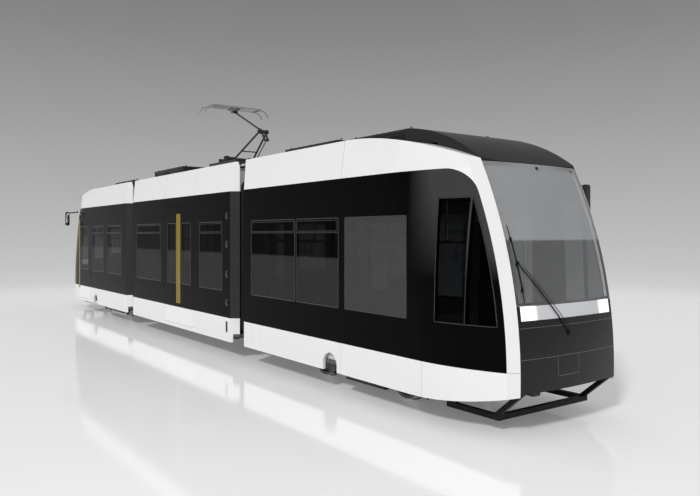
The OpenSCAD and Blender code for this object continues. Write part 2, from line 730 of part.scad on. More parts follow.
module panto_head() color("#4a4d52") {
    for (s = [-1, 1]) {
        difference() {
            span([head_p[0] - 30, s > 0 ? 50 : -64, head_p[1] - 30],
                 [head_p[0] + 30, s > 0 ? 64 : -50, head_p[1] + 60]);
            cross_pin(head_p, 12 + fit, -100, 100);
        }
        span([head_p[0] - 150, s > 0 ? 50 : -64, head_p[1] + 30],
             [head_p[0] + 150, s > 0 ? 64 : -50, head_p[1] + 60]);
        span([head_p[0] + s * 130 - 25, -strip_y, head_p[1] + 60],
             [head_p[0] + s * 130 + 25, strip_y, head_p[1] + 90]);
        for (e = [-1, 1]) {
            bar([head_p[0] + s * 130, e * (strip_y - 20), head_p[1] + 75],
                [head_p[0] + s * 130, e * (strip_y + 110), head_p[1] + 40], 12);
            bar([head_p[0] + s * 130, e * (strip_y + 108), head_p[1] + 41],
                [head_p[0] + s * 130, e * (horn_y - 30), head_p[1] - 60], 12);
            translate([head_p[0] + s * 130, e * (horn_y - 30), head_p[1] - 60]) sphere(r = 14, $fn = soft);
        }
    }
}

// The rod turns on its own pin in the base; its other eye lies free between the lever's plates
module panto_pull_rod() color("#55585d") {
    cross_pin(rod_p, rod_pin_r, -44, 44);
    cross_pin(rod_p, 26, -14, 14);
    bar(at_xz(rod_p, 0), at_xz(lever_p - 16 * rod_u, 0), 9);
    difference() {
        cross_pin(lever_p, 20, -14, 14);
        cross_pin(lever_p, lever_bore, -60, 60);
    }
}

middle_floor();
middle_walls();
middle_roof();
middle_skirts();
middle_windows();
middle_doors();
middle_seats();
middle_portals();
middle_roof_unit();
gangway_plates();
bellows(false);  // front_bellows
bellows(true);  // rear_bellows
panto_base();
panto_lower_arm();
panto_upper_arm();
panto_head();
panto_pull_rod();
end_floor(false);  // front_floor
end_walls(false);  // front_walls
end_roof(false);  // front_roof
end_skirts(false);  // front_skirts
end_pillars(false);  // front_pillars
end_mask(false);  // front_mask
end_lamp_bar(false);  // front_lamp_bar
end_windscreen(false);  // front_windscreen
end_hood(false);  // front_hood
end_windows(false);  // front_windows
end_door(false);  // front_door
end_portal(false);  // front_portal
end_seats(false);  // front_seats
end_desk(false);  // front_desk
end_roof_units(false);  // front_roof_units
end_mirror(false);  // front_mirror
end_guard(false);  // front_guard
end_bogie(false);  // front_bogie
in_end(false) wheelset(bogie_x + wheelbase / 2);  // front_outer_wheelset
in_end(false) wheelset(bogie_x - wheelbase / 2);  // front_inner_wheelset
end_floor(true);  // rear_floor
end_walls(true);  // rear_walls
end_roof(true);  // rear_roof
end_skirts(true);  // rear_skirts
end_pillars(true);  // rear_pillars
end_mask(true);  // rear_mask
end_lamp_bar(true);  // rear_lamp_bar
end_windscreen(true);  // rear_windscreen
end_hood(true);  // rear_hood
end_windows(true);  // rear_windows
end_door(true);  // rear_door
end_portal(true);  // rear_portal
end_seats(true);  // rear_seats
end_desk(true);  // rear_desk
end_roof_units(true);  // rear_roof_units
end_mirror(true);  // rear_mirror
end_guard(true);  // rear_guard
end_bogie(true);  // rear_bogie
in_end(true) wheelset(bogie_x + wheelbase / 2);  // rear_outer_wheelset
in_end(true) wheelset(bogie_x - wheelbase / 2);  // rear_inner_wheelset
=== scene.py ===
import json
import math

import bmesh
import bpy
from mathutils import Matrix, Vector

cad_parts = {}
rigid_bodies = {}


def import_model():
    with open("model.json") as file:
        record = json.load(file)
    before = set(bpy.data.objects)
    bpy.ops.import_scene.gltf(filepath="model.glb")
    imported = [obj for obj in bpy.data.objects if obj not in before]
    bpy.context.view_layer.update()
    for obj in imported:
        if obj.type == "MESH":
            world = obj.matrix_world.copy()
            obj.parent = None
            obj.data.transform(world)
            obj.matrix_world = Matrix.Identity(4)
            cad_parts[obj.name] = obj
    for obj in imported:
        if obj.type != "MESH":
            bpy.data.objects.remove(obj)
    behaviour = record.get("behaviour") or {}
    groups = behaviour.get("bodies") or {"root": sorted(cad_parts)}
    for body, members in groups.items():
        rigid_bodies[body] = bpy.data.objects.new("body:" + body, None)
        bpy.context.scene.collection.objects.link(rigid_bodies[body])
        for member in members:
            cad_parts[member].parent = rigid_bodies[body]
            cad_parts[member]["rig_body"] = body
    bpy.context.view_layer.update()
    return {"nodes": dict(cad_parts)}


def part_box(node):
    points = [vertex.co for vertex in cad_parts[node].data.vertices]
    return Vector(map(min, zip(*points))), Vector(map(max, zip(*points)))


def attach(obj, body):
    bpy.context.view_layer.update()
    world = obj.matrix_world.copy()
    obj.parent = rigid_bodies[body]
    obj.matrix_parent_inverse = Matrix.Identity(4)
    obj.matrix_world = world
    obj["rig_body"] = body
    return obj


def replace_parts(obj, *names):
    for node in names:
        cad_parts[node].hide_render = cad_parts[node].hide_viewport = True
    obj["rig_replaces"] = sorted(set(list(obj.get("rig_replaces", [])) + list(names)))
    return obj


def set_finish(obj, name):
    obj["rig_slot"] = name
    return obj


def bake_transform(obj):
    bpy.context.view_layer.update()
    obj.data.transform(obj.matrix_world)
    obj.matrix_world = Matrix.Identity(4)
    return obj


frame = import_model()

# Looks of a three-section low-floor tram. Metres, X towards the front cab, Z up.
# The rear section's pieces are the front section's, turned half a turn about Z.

# ---- stations, from the frame

HALF_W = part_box("middle_walls")[1].y
MID_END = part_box("middle_walls")[1].x
END_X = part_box("front_walls")[0].x
NOSE_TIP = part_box("front_mask")[1].x
NOSE_X = NOSE_TIP - 1.13
BELT_Z, CANT_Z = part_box("middle_walls")[0].z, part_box("middle_walls")[1].z
SKIRT_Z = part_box("middle_skirts")[0].z
FLOOR_LOW, FLOOR_Z = 0.375, 0.42
RAIL_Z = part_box("middle_roof")[1].z
DECK_Z = RAIL_Z - 0.145
BOGIE_X = NOSE_X - 1.78
AXLES = (BOGIE_X + 0.9, BOGIE_X - 0.9)
SILL, HEAD = 1.12, 2.285
AXIS_X, AXIS_Z = NOSE_TIP - 5.15, 0.6      # cross axis that the nose turns about
CROWN_R = 6.425
SIDE_C, SIDE_R = (3.9547, -1.3442), 2.495  # arc of the nose's sides, seen from above
HALF_TURN = math.pi


def nose_front(y, z, out=0.0):
    """X of the front's outer face at y and z, moved out by a distance."""
    rho = 5.15 + out - (CROWN_R - math.sqrt(CROWN_R ** 2 - y * y))
    return AXIS_X + math.sqrt(rho ** 2 - (z - AXIS_Z) ** 2)


def nose_side(x, z):
    """Half width of the nose's side at x and z."""
    rho = math.hypot(x - AXIS_X, z - AXIS_Z)
    if rho < 4.02 or x < NOSE_X:
        return HALF_W
    return SIDE_C[1] + math.sqrt(SIDE_R ** 2 - (rho - SIDE_C[0]) ** 2)


# ---- finishes

def put(socket, value):
    """Links a socket to another, or sets its value."""
    if isinstance(value, bpy.types.NodeSocket):
        socket.id_data.links.new(value, socket)
    else:
        socket.default_value = value


def maths(tree, operation, *values):
    """A Math node of that operation."""
    node = tree.nodes.new("ShaderNodeMath")
    node.operation = operation
    for i, v in enumerate(values):
        put(node.inputs[i], v)
    return node.outputs[0]


def blend_colour(tree, factor, a, b):
    """A Mix node between two colours."""
    node = tree.nodes.new("ShaderNodeMix")
    node.data_type = "RGBA"
    put(node.inputs["Factor"], factor)
    put(node.inputs["A"], a)
    put(node.inputs["B"], b)
    return node.outputs["Result"]


def place(tree):
    """The point on the piece: its vector, x, y and z."""
    coords = tree.nodes.new("ShaderNodeTexCoord").outputs["Object"]
    split = tree.nodes.new("ShaderNodeSeparateXYZ")
    put(split.inputs[0], coords)
    return (coords, *split.outputs)


def speckle(tree, coords, scale, detail=3.0, stretch=None):
    """A noise between 0 and 1, stretched along an axis where asked."""
    if stretch:
        mapping = tree.nodes.new("ShaderNodeMapping")
        mapping.inputs["Scale"].default_value = stretch
        put(mapping.inputs["Vector"], coords)
        coords = mapping.outputs[0]
    node = tree.nodes.new("ShaderNodeTexNoise")
    node.inputs["Scale"].default_value = scale
    node.inputs["Detail"].default_value = detail
    put(node.inputs["Vector"], coords)
    return node.outputs[0]


def band(tree, v, low, high):
    """1 where v lies between two numbers."""
    return maths(tree, "MULTIPLY", maths(tree, "GREATER_THAN", v, low), maths(tree, "LESS_THAN", v, high))


def shade(colour, by):
    return tuple(min(1.0, c * by) for c in colour[:3]) + (1.0,)


def finish(name, colour, rough, metal=0.0, specular=0.5, coat=0.0, mottle=0.06, scale=2.5,
           grain=90.0, relief=0.02, stretch=None, dirt=0.0, zones=None):
    """A finish with soft colour variation, uneven gloss, a fine surface and dirt near the ground."""
    made = bpy.data.materials.new(name)
    made.use_nodes = True
    tree = made.node_tree
    shader = tree.nodes["Principled BSDF"]
    coords, x, y, z = place(tree)
    cloud = speckle(tree, coords, scale, 4.0, stretch)
    base = blend_colour(tree, cloud, shade(colour, 1 - mottle), shade(colour, 1 + mottle))
    fine = speckle(tree, coords, grain, 2.0, stretch)
    if dirt:
        low = maths(tree, "SUBTRACT", 1.0, maths(tree, "DIVIDE", z, 0.9))
        low = maths(tree, "MAXIMUM", low, 0.0)
        amount = maths(tree, "MULTIPLY", maths(tree, "MULTIPLY", low, cloud), dirt)
        base = blend_colour(tree, amount, base, (0.16, 0.14, 0.12, 1))
    if zones:
        base = zones(tree, (x, y, z), base)
    put(shader.inputs["Base Color"], base)
    uneven = maths(tree, "MULTIPLY_ADD", cloud, rough * 0.5, rough * 0.75)
    put(shader.inputs["Roughness"], uneven)
    shader.inputs["Metallic"].default_value = metal
    shader.inputs["Specular IOR Level"].default_value = specular
    shader.inputs["Coat Weight"].default_value = coat
    shader.inputs["Coat Roughness"].default_value = 0.08
    bump = tree.nodes.new("ShaderNodeBump")
    bump.inputs["Strength"].default_value = relief * 5
    bump.inputs["Distance"].default_value = 0.001
    put(bump.inputs["Height"], fine)
    put(shader.inputs["Normal"], bump.outputs[0])
    return made


def turned_x(tree, x, y):
    """x on the -Y side and -x on the +Y side, so that a mark repeats half a turn round."""
    return maths(tree, "MULTIPLY", x, maths(tree, "MULTIPLY", maths(tree, "SIGN", y), -1.0))


def paint_zones(tree, at, base):
    """Panel seams in the white paint, painted shade on the section ends in the gaps between sections, and the grey
    walkway on the roof.
    """
    x, y, z = at
    # painted shade: the white ends facing into the gaps between sections are made near black
    gap_shade = band(tree, maths(tree, "ABSOLUTE", x), MID_END - 0.0015, END_X + 0.0015)
    base = blend_colour(tree, gap_shade, base, (0.004, 0.004, 0.004, 1))
    along = turned_x(tree, x, y)
    high = maths(tree, "GREATER_THAN", z, CANT_Z)
    for seam, w, low, top in ((5.6, 0.002, CANT_Z, 3.3), (-0.512, 0.0015, CANT_Z, 3.3), (0.924, 0.0015, CANT_Z, 3.3),
                              (3.174, 0.0015, 0.32, 0.56), (3.47, 0.001, 0.30, 0.66)):
        line = maths(tree, "MULTIPLY", band(tree, along, seam - w, seam + w), band(tree, z, low, top))
        base = blend_colour(tree, line, base, (0.16, 0.16, 0.17, 1))
    deck = maths(tree, "MULTIPLY", high, maths(tree, "LESS_THAN", maths(tree, "ABSOLUTE", y), 1.02))
    deck = maths(tree, "MULTIPLY", deck, maths(tree, "LESS_THAN", z, DECK_Z + 0.03))
    deck = maths(tree, "MULTIPLY", deck, maths(tree, "LESS_THAN", maths(tree, "ABSOLUTE", x), NOSE_X - 0.2))
    return blend_colour(tree, deck, base, (0.36, 0.37, 0.38, 1))


def gloss_zones(tree, at, base):
    """White below the belt, a painted reflection in grey on the corners at the section ends, painted shade in the gaps
    between sections, a painted reflection growing up the nose, and the white rounded corner by the cab.
    """
    x, y, z = at
    base = blend_colour(tree, maths(tree, "LESS_THAN", z, BELT_Z - 0.002), base, (0.80, 0.80, 0.795, 1))
    far_x = maths(tree, "ABSOLUTE", x)
    # painted reflection: the corners at the section ends are made grey on the black band, whose own reflection is kept
    # very low
    ends = maths(tree, "LESS_THAN", maths(tree, "ABSOLUTE", maths(tree, "SUBTRACT", far_x, 2.67)), 0.249)
    base = blend_colour(tree, ends, base, (0.036, 0.037, 0.039, 1))
    # painted shade: the black band's ends in the gaps between sections are made darker still
    gap_shade = band(tree, far_x, MID_END - 0.0015, END_X + 0.0015)
    base = blend_colour(tree, gap_shade, base, (0.001, 0.001, 0.001, 1))
    # painted reflection: a grey patch on the black band that grows towards the front and the top of the nose, where it
    # curves most
    nose_reflection = maths(tree, "MULTIPLY", maths(tree, "MULTIPLY_ADD", far_x, 2.5, -17.2), maths(tree, "MULTIPLY_ADD", z, 1.2, -1.9))
    nose_reflection = maths(tree, "MULTIPLY", maths(tree, "GREATER_THAN", far_x, 6.88), nose_reflection)
    base = blend_colour(tree, maths(tree, "MINIMUM", maths(tree, "MAXIMUM", nose_reflection, 0.0), 1.0), base, (0.045, 0.045, 0.046, 1))
    dx = maths(tree, "SUBTRACT", far_x, AXIS_X)
    dz = maths(tree, "SUBTRACT", z, AXIS_Z)
    rho = maths(tree, "SQRT", maths(tree, "ADD", maths(tree, "MULTIPLY", dx, dx), maths(tree, "MULTIPLY", dz, dz)))
    r = 0.25
    u = maths(tree, "MAXIMUM", maths(tree, "SUBTRACT", rho, 5.02 - r), 0.0)
    v = maths(tree, "MAXIMUM", maths(tree, "SUBTRACT", z, CANT_Z - r), 0.0)
    span = maths(tree, "SQRT", maths(tree, "ADD", maths(tree, "MULTIPLY", u, u), maths(tree, "MULTIPLY", v, v)))
    corner = maths(tree, "MULTIPLY", maths(tree, "GREATER_THAN", span, r), maths(tree, "GREATER_THAN", far_x, 7.0))
    corner = maths(tree, "MULTIPLY", corner, maths(tree, "GREATER_THAN", maths(tree, "ABSOLUTE", y), 0.8))
    return blend_colour(tree, corner, base, (0.80, 0.80, 0.79, 1))


def mask_zones(tree, at, base):
    """Pale joint lines between the panels of the front mask, and round its hatch."""
    x, y, z = at
    side = maths(tree, "ABSOLUTE", maths(tree, "ADD", turned_x(tree, y, maths(tree, "MULTIPLY", x, -1.0)), 0.09))
    lines = [band(tree, z, 1.1185, 1.1215), band(tree, z, 0.8045, 0.8075),
             maths(tree, "MULTIPLY", band(tree, side, 0.1685, 0.1715), band(tree, z, 0.60, 0.806)),
             maths(tree, "MULTIPLY", band(tree, z, 0.5985, 0.6015), maths(tree, "LESS_THAN", side, 0.17))]
    for line in lines:
        base = blend_colour(tree, line, base, (0.20, 0.20, 0.205, 1))
    return base


def side_window_light(tree, at, amount):
    """Painted light on the side windows: none on the cab's side windows, and an even pale layer on the window beside
    the cab.
    """
    x, y, z = at
    amount = maths(tree, "MULTIPLY", amount, maths(tree, "LESS_THAN", maths(tree, "ABSOLUTE", x), NOSE_X - 0.1))
    # painted light: the window beside the cab, which looks lighter throughout, gets an even pale layer
    near_cab_window_light = maths(tree, "MULTIPLY", band(tree, turned_x(tree, x, y), 5.66, 6.88), 0.085)
    return maths(tree, "MAXIMUM", amount, near_cab_window_light)


def glass(name, tint, painted_film_levels, painted_film_colour, split, tall, bend, zones=None):
    """Tinted glass with a pale layer of painted light, whose strength goes from one height to another."""
    made = bpy.data.materials.new(name)
    made.use_nodes = True
    tree = made.node_tree
    shader = tree.nodes["Principled BSDF"]
    coords, x, y, z = place(tree)
    streak = speckle(tree, coords, 1.3, 3.0, (1.0, 1.0, 0.35))
    put(shader.inputs["Base Color"], blend_colour(tree, streak, shade(tint, 0.97), shade(tint, 1.03)))
    shader.inputs["Roughness"].default_value = 0.0
    shader.inputs["IOR"].default_value = bend
    shader.inputs["Transmission Weight"].default_value = 1.0
    # painted light: a pale diffuse layer mixed into the glass
    painted_film = tree.nodes.new("ShaderNodeBsdfDiffuse")
    put(painted_film.inputs["Color"], blend_colour(tree, streak, shade(painted_film_colour, 0.95), shade(painted_film_colour, 1.05)))
    step = tree.nodes.new("ShaderNodeMapRange")
    step.interpolation_type = "SMOOTHSTEP"
    put(step.inputs["Value"], z)
    for socket, value in zip(step.inputs[1:5], (split, split + tall, *painted_film_levels)):
        socket.default_value = value
    both = tree.nodes.new("ShaderNodeMixShader")
    put(both.inputs[0], zones(tree, (x, y, z), step.outputs[0]) if zones else step.outputs[0])
    put(both.inputs[1], shader.outputs[0])
    put(both.inputs[2], painted_film.outputs[0])
    clear = tree.nodes.new("ShaderNodeBsdfTransparent")
    put(clear.inputs["Color"], shade(tint, 1.0))
    light = tree.nodes.new("ShaderNodeLightPath")
    last = tree.nodes.new("ShaderNodeMixShader")
    put(last.inputs[0], light.outputs["Is Shadow Ray"])
    put(last.inputs[1], both.outputs[0])
    put(last.inputs[2], clear.outputs[0])
    put(tree.nodes["Material Output"].inputs["Surface"], last.outputs[0])
    return made


def lamp_finish():
    """White lamp bar with a bright lamp at each end."""
    made = finish("lamp_glass", (0.62, 0.63, 0.65), 0.12, coat=0.6, mottle=0.03)
    tree = made.node_tree
    shader = tree.nodes["Principled BSDF"]
    coords, x, y, z = place(tree)
    step = tree.nodes.new("ShaderNodeMapRange")
    step.interpolation_type = "SMOOTHSTEP"
    put(step.inputs["Value"], maths(tree, "ABSOLUTE", y))
    for socket, value in zip(step.inputs[1:5], (0.50, 0.57, 0.0, 0.85)):
        socket.default_value = value
    put(shader.inputs["Emission Strength"], step.outputs[0])
    shader.inputs["Emission Color"].default_value = (1.0, 1.0, 1.0, 1)
    return made


def cloth_finish(name, colour, second):
    """Woven seat cloth in two tones, with a fuzzy sheen."""
    made = finish(name, colour, 0.85, specular=0.2, mottle=0.12, scale=5.0, grain=500.0, relief=0.12)
    tree = made.node_tree
    shader = tree.nodes["Principled BSDF"]
    coords = tree.nodes.new("ShaderNodeTexCoord").outputs["Object"]
    weave = tree.nodes.new("ShaderNodeTexVoronoi")
    weave.inputs["Scale"].default_value = 55.0
    put(weave.inputs["Vector"], coords)
    dots = maths(tree, "LESS_THAN", weave.outputs["Distance"], 0.22)
    old = shader.inputs["Base Color"].links[0].from_socket
    put(shader.inputs["Base Color"], blend_colour(tree, dots, old, second))
    shader.inputs["Sheen Weight"].default_value = 0.3
    return made


def tread_finish():
    """Painted wheel discs and axle, with a bright tread and a dull flange."""
    def zones(tree, at, base):
        x, y, z = at
        side = maths(tree, "ABSOLUTE", y)
        near = maths(tree, "SUBTRACT", maths(tree, "ABSOLUTE", x), AXLES[0])
        inner = maths(tree, "SUBTRACT", maths(tree, "ABSOLUTE", x), AXLES[1])
        near = maths(tree, "MINIMUM", maths(tree, "ABSOLUTE", near), maths(tree, "ABSOLUTE", inner))
        up = maths(tree, "SUBTRACT", z, 0.31)
        r = maths(tree, "SQRT", maths(tree, "ADD", maths(tree, "MULTIPLY", near, near), maths(tree, "MULTIPLY", up, up)))
        bright = maths(tree, "MULTIPLY", band(tree, r, 0.2795, 0.29), maths(tree, "GREATER_THAN", side, 0.52))
        return blend_colour(tree, bright, base, (0.62, 0.62, 0.63, 1))
    return finish("wheel_steel", (0.13, 0.13, 0.135), 0.42, metal=0.6, mottle=0.2, scale=9.0,
                  grain=160.0, relief=0.08, zones=zones)


FINISHES = {
    "gloss_black": finish("gloss_black", (0.0020, 0.0020, 0.0022), 0.16, specular=0.03, mottle=0.1, relief=0.004,
                          grain=30.0, zones=gloss_zones),
    "white_paint": finish("white_paint", (0.80, 0.80, 0.795), 0.24, specular=0.45, coat=0.25, mottle=0.012,
                          scale=1.2, grain=240.0, relief=0.004, dirt=0.10, zones=paint_zones),
    "mask_black": finish("mask_black", (0.011, 0.011, 0.0115), 0.26, specular=0.22, coat=0.05, mottle=0.08,
                         relief=0.004, grain=40.0, zones=mask_zones),
    "hood_black": finish("hood_black", (0.012, 0.012, 0.013), 0.26, specular=0.45, mottle=0.1, relief=0.006,
                         grain=60.0),
    # painted light: a faint pale layer on the side windows below 1.74 m, where their lower panes look lighter
    "tinted_glass": glass("tinted_glass", (0.115, 0.12, 0.125), (0.045, 0.0), (0.55, 0.56, 0.57), 1.74, 0.04, 1.07,
                          side_window_light),
    # painted reflection: a pale layer on the windscreen, faint below 1.99 m and strong above, for the backdrop's
    # reflection
    "windscreen_glass": glass("windscreen_glass", (0.70, 0.71, 0.72), (0.09, 0.33), (0.62, 0.63, 0.64), 1.99, 0.03, 1.5),
    "lamp_glass": lamp_finish(),
    "grey_lining": finish("grey_lining", (0.42, 0.43, 0.44), 0.5, mottle=0.04, grain=200.0, relief=0.05),
    "pale_lining": finish("pale_lining", (0.60, 0.60, 0.59), 0.45, mottle=0.03, grain=220.0, relief=0.05),
    "seat_fabric": cloth_finish("seat_fabric", (0.050, 0.060, 0.085), (0.20, 0.22, 0.27, 1)),
    "dark_plastic": finish("dark_plastic", (0.022, 0.023, 0.025), 0.5, mottle=0.12, grain=420.0, relief=0.14),
    "roof_unit_black": finish("roof_unit_black", (0.020, 0.021, 0.023), 0.42, mottle=0.18, grain=260.0,
                              relief=0.08),
    "roof_unit_grey": finish("roof_unit_grey", (0.30, 0.31, 0.32), 0.4, metal=0.5, mottle=0.1, grain=180.0,
                             relief=0.06),
    "underframe_grey": finish("underframe_grey", (0.075, 0.077, 0.08), 0.6, mottle=0.2, scale=6.0, grain=150.0,
                              relief=0.12, dirt=0.5),
    "guard_black": finish("guard_black", (0.004, 0.004, 0.0043), 0.45, specular=0.15, mottle=0.15, grain=160.0,
                          relief=0.06, dirt=0.04),
    "bogie_grey": finish("bogie_grey", (0.045, 0.046, 0.05), 0.5, mottle=0.25, scale=8.0, grain=140.0,
                         relief=0.14, dirt=0.6),
    "wheel_steel": tread_finish(),
    "plate_alloy": finish("plate_alloy", (0.50, 0.51, 0.52), 0.35, metal=0.9, mottle=0.1, scale=9.0,
                          grain=120.0, relief=0.1),
    "bellows_rubber": finish("bellows_rubber", (0.014, 0.014, 0.015), 0.7, specular=0.3, mottle=0.2, scale=14.0,
                             grain=320.0, relief=0.18),
    "panto_grey": finish("panto_grey", (0.030, 0.031, 0.034), 0.4, mottle=0.15, scale=8.0, grain=200.0,
                         relief=0.08),
    "head_alloy": finish("head_alloy", (0.34, 0.345, 0.35), 0.4, metal=0.4, mottle=0.15, scale=9.0, grain=200.0,
                         relief=0.08, stretch=(1.0, 8.0, 1.0)),
    "carbon": finish("carbon", (0.035, 0.035, 0.037), 0.5, mottle=0.3, scale=20.0, grain=300.0, relief=0.2),
    "door_yellow": finish("door_yellow", (0.235, 0.165, 0.016), 0.35, specular=0.12, mottle=0.05, grain=200.0,
                          relief=0.01),
    "trim_grey": finish("trim_grey", (0.035, 0.036, 0.038), 0.35, mottle=0.08, grain=180.0, relief=0.02),
    "rubber": finish("rubber", (0.010, 0.010, 0.011), 0.65, specular=0.3, mottle=0.15, grain=240.0, relief=0.1),
    "brushed_steel": finish("brushed_steel", (0.60, 0.61, 0.62), 0.28, metal=1.0, mottle=0.06, scale=12.0,
                            grain=260.0, relief=0.05, stretch=(1.0, 1.0, 12.0)),
    "mirror_glass": finish("mirror_glass", (0.80, 0.81, 0.82), 0.03, metal=1.0, mottle=0.01, relief=0.0),
    "insulator_brown": finish("insulator_brown", (0.22, 0.075, 0.045), 0.25, coat=0.4, mottle=0.1, grain=90.0,
                              relief=0.02),
    "floor_vinyl": finish("floor_vinyl", (0.16, 0.165, 0.17), 0.55, mottle=0.12, scale=60.0, grain=400.0,
                          relief=0.05),
}

NODE_FINISHES = {
    "walls": "gloss_black", "roof": "white_paint", "skirts": "white_paint", "pillars": "white_paint",
    "mask": "mask_black", "hood": "hood_black", "lamp_bar": "lamp_glass", "windscreen": "windscreen_glass",
    "windows": "tinted_glass", "doors": "gloss_black", "door": "gloss_black", "floor": "underframe_grey",
    "portals": "grey_lining", "portal": "grey_lining", "seats": "seat_fabric", "desk": "dark_plastic",
    "roof_unit": "roof_unit_black", "roof_units": "roof_unit_black", "mirror": "dark_plastic",
    "guard": "guard_black", "bogie": "bogie_grey", "outer_wheelset": "wheel_steel",
    "inner_wheelset": "wheel_steel", "plates": "plate_alloy", "bellows": "bellows_rubber",
    "base": "panto_grey", "lower_arm": "panto_grey", "upper_arm": "panto_grey", "head": "head_alloy",
    "pull_rod": "panto_grey",
}
for name, node in frame["nodes"].items():
    key = name.split("_", 1)[1]
    node.data.materials.clear()
    node.data.materials.append(FINISHES[NODE_FINISHES[key]])


# ---- shaping tools

def begin(name):
    """A new empty piece at the origin, open in edit mode."""
    bpy.ops.object.select_all(action="DESELECT")
    bpy.ops.mesh.primitive_plane_add(size=1)
    piece = bpy.context.object
    piece.name = piece.data.name = name
    bpy.ops.object.mode_set(mode="EDIT")
    bpy.ops.mesh.delete(type="VERT")
    return piece


def shelve():
    """Hides what is made, so that the next operators act on the new part alone."""
    bpy.ops.mesh.select_all(action="SELECT")
    bpy.ops.mesh.hide(unselected=False)


def pick(test):
    """Selects the visible faces whose centre and normal pass the test."""
    piece = bpy.context.edit_object
    shape = bmesh.from_edit_mesh(piece.data)
    bpy.ops.mesh.select_all(action="DESELECT")
    for face in shape.faces:
        if not face.hide and test(face.calc_center_median(), face.normal):
            face.select_set(True)
    bmesh.update_edit_mesh(piece.data)


def block(low, high, edge=0.003, segments=2):
    """A block between two corners, with its edges rounded."""
    low, high = Vector(low), Vector(high)
    bpy.ops.mesh.primitive_cube_add(size=1, location=(low + high) / 2, scale=high - low)
    if edge:
        bpy.ops.mesh.bevel(offset=min(edge, min(high - low) * 0.45), segments=segments, affect="EDGES")
    shelve()


def rod(a, b, r, sides=20, edge=0.0):
    """A round bar between two points."""
    a, b = Vector(a), Vector(b)
    way = (b - a).to_track_quat("Z", "Y").to_euler()
    bpy.ops.mesh.primitive_cylinder_add(vertices=sides, radius=r, depth=(b - a).length, location=(a + b) / 2,
                                        rotation=way)
    if edge:
        axis = (b - a).normalized()
        pick(lambda centre, normal: abs(normal.dot(axis)) > 0.9)
        bpy.ops.mesh.bevel(offset=edge, segments=2, affect="EDGES")
    shelve()


def lathe(start, axis, steps, sides=24):
    """A turned part: a disc at start, drawn along axis through (distance, radius) steps."""
    axis = Vector(axis).normalized()
    here = Vector(start)
    r = steps[0][1]
    bpy.ops.mesh.primitive_circle_add(vertices=sides, radius=r, fill_type="NGON", location=here + axis * steps[0][0],
                                      rotation=axis.to_track_quat("Z", "Y").to_euler())
    done = steps[0][0]
    for distance, radius in steps[1:]:
        move = axis * (distance - done)
        bpy.ops.mesh.extrude_region_move(TRANSFORM_OT_translate={"value": move})
        f = radius / r
        bpy.ops.transform.resize(value=(f, f, f), center_override=here + axis * distance)
        done, r = distance, radius
    bpy.ops.mesh.select_all(action="SELECT")
    bpy.ops.mesh.normals_make_consistent(inside=False)
    shelve()


def window_ring(side, x0, x1, z0, z1, width, y0, y1, round_=0.03):
    """A flat frame round an opening, between two distances y0 and y1 from the middle plane."""
    centre = ((x0 + x1) / 2, side * y0, (z0 + z1) / 2)
    bpy.ops.mesh.primitive_plane_add(size=1, location=centre, rotation=(math.pi / 2, 0, 0))
    bpy.ops.transform.resize(value=(x1 - x0, 1, z1 - z0), center_override=centre)
    bpy.ops.mesh.bevel(offset=round_, segments=4, affect="VERTICES")
    bpy.ops.mesh.inset(thickness=width)
    bpy.ops.mesh.delete(type="ONLY_FACE")
    bpy.ops.mesh.select_all(action="SELECT")
    bpy.ops.mesh.extrude_region_move(TRANSFORM_OT_translate={"value": (0, side * (y1 - y0), 0)})
    bpy.ops.mesh.select_all(action="SELECT")
    bpy.ops.mesh.normals_make_consistent(inside=False)
    shelve()


def end(piece, finish_name, slot, body, angle=35.0, replaced=()):
    """Closes a piece, gives it its finish and lets it ride on a body."""
    if bpy.context.mode == "EDIT_MESH":
        bpy.ops.mesh.reveal(select=False)
        bpy.ops.object.mode_set(mode="OBJECT")
    bpy.ops.object.select_all(action="DESELECT")
    piece.select_set(True)
    bpy.context.view_layer.objects.active = piece
    bpy.ops.object.shade_smooth_by_angle(angle=math.radians(angle))
    piece.data.materials.clear()
    piece.data.materials.append(FINISHES[finish_name])
    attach(piece, body)
    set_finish(piece, slot)
    if replaced:
        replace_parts(piece, *replaced)
    return piece


def tube(points, r, closed=False, sides=3):
    """A round tube along points, as its own object."""
    bpy.ops.object.select_all(action="DESELECT")
    bpy.ops.curve.primitive_nurbs_path_add(location=(0, 0, 0))
    path = bpy.context.object
    path.data.splines.clear()
    line = path.data.splines.new("POLY")
    line.points.add(len(points) - 1)
    for spot, p in zip(line.points, points):
        spot.co = (*p, 1.0)
    line.use_cyclic_u = closed
    path.data.bevel_depth = r
    path.data.bevel_resolution = sides
    path.data.use_fill_caps = True
    bpy.ops.object.convert(target="MESH")
    return bpy.context.object


def bent(points, r=0.03, steps=5):
    """The points of a path with each inner corner rounded."""
    points = [Vector(p) for p in points]
    out = [points[0]]
    for a, b, c in zip(points, points[1:], points[2:]):
        u, w = (a - b).normalized(), (c - b).normalized()
        cut = min(r, (a - b).length * 0.45, (c - b).length * 0.45)
        for i in range(steps + 1):
            t = i / steps
            out.append(b + u * cut * (1 - t) ** 2 + w * cut * t ** 2)
    return out + [points[-1]]


def joined(name, parts):
    """One piece from several."""
    if bpy.context.mode == "EDIT_MESH":
        bpy.ops.mesh.reveal(select=False)
        bpy.ops.object.mode_set(mode="OBJECT")
    bpy.ops.object.select_all(action="DESELECT")
    for part in parts:
        part.select_set(True)
    bpy.context.view_layer.objects.active = parts[0]
    if len(parts) > 1:
        bpy.ops.object.join()
    piece = bpy.context.object
    piece.name = piece.data.name = name
    return piece


def close():
    """Leaves edit mode, with all parts of the piece showing."""
    piece = bpy.context.edit_object
    bpy.ops.mesh.reveal(select=False)
    bpy.ops.object.mode_set(mode="OBJECT")
    return piece


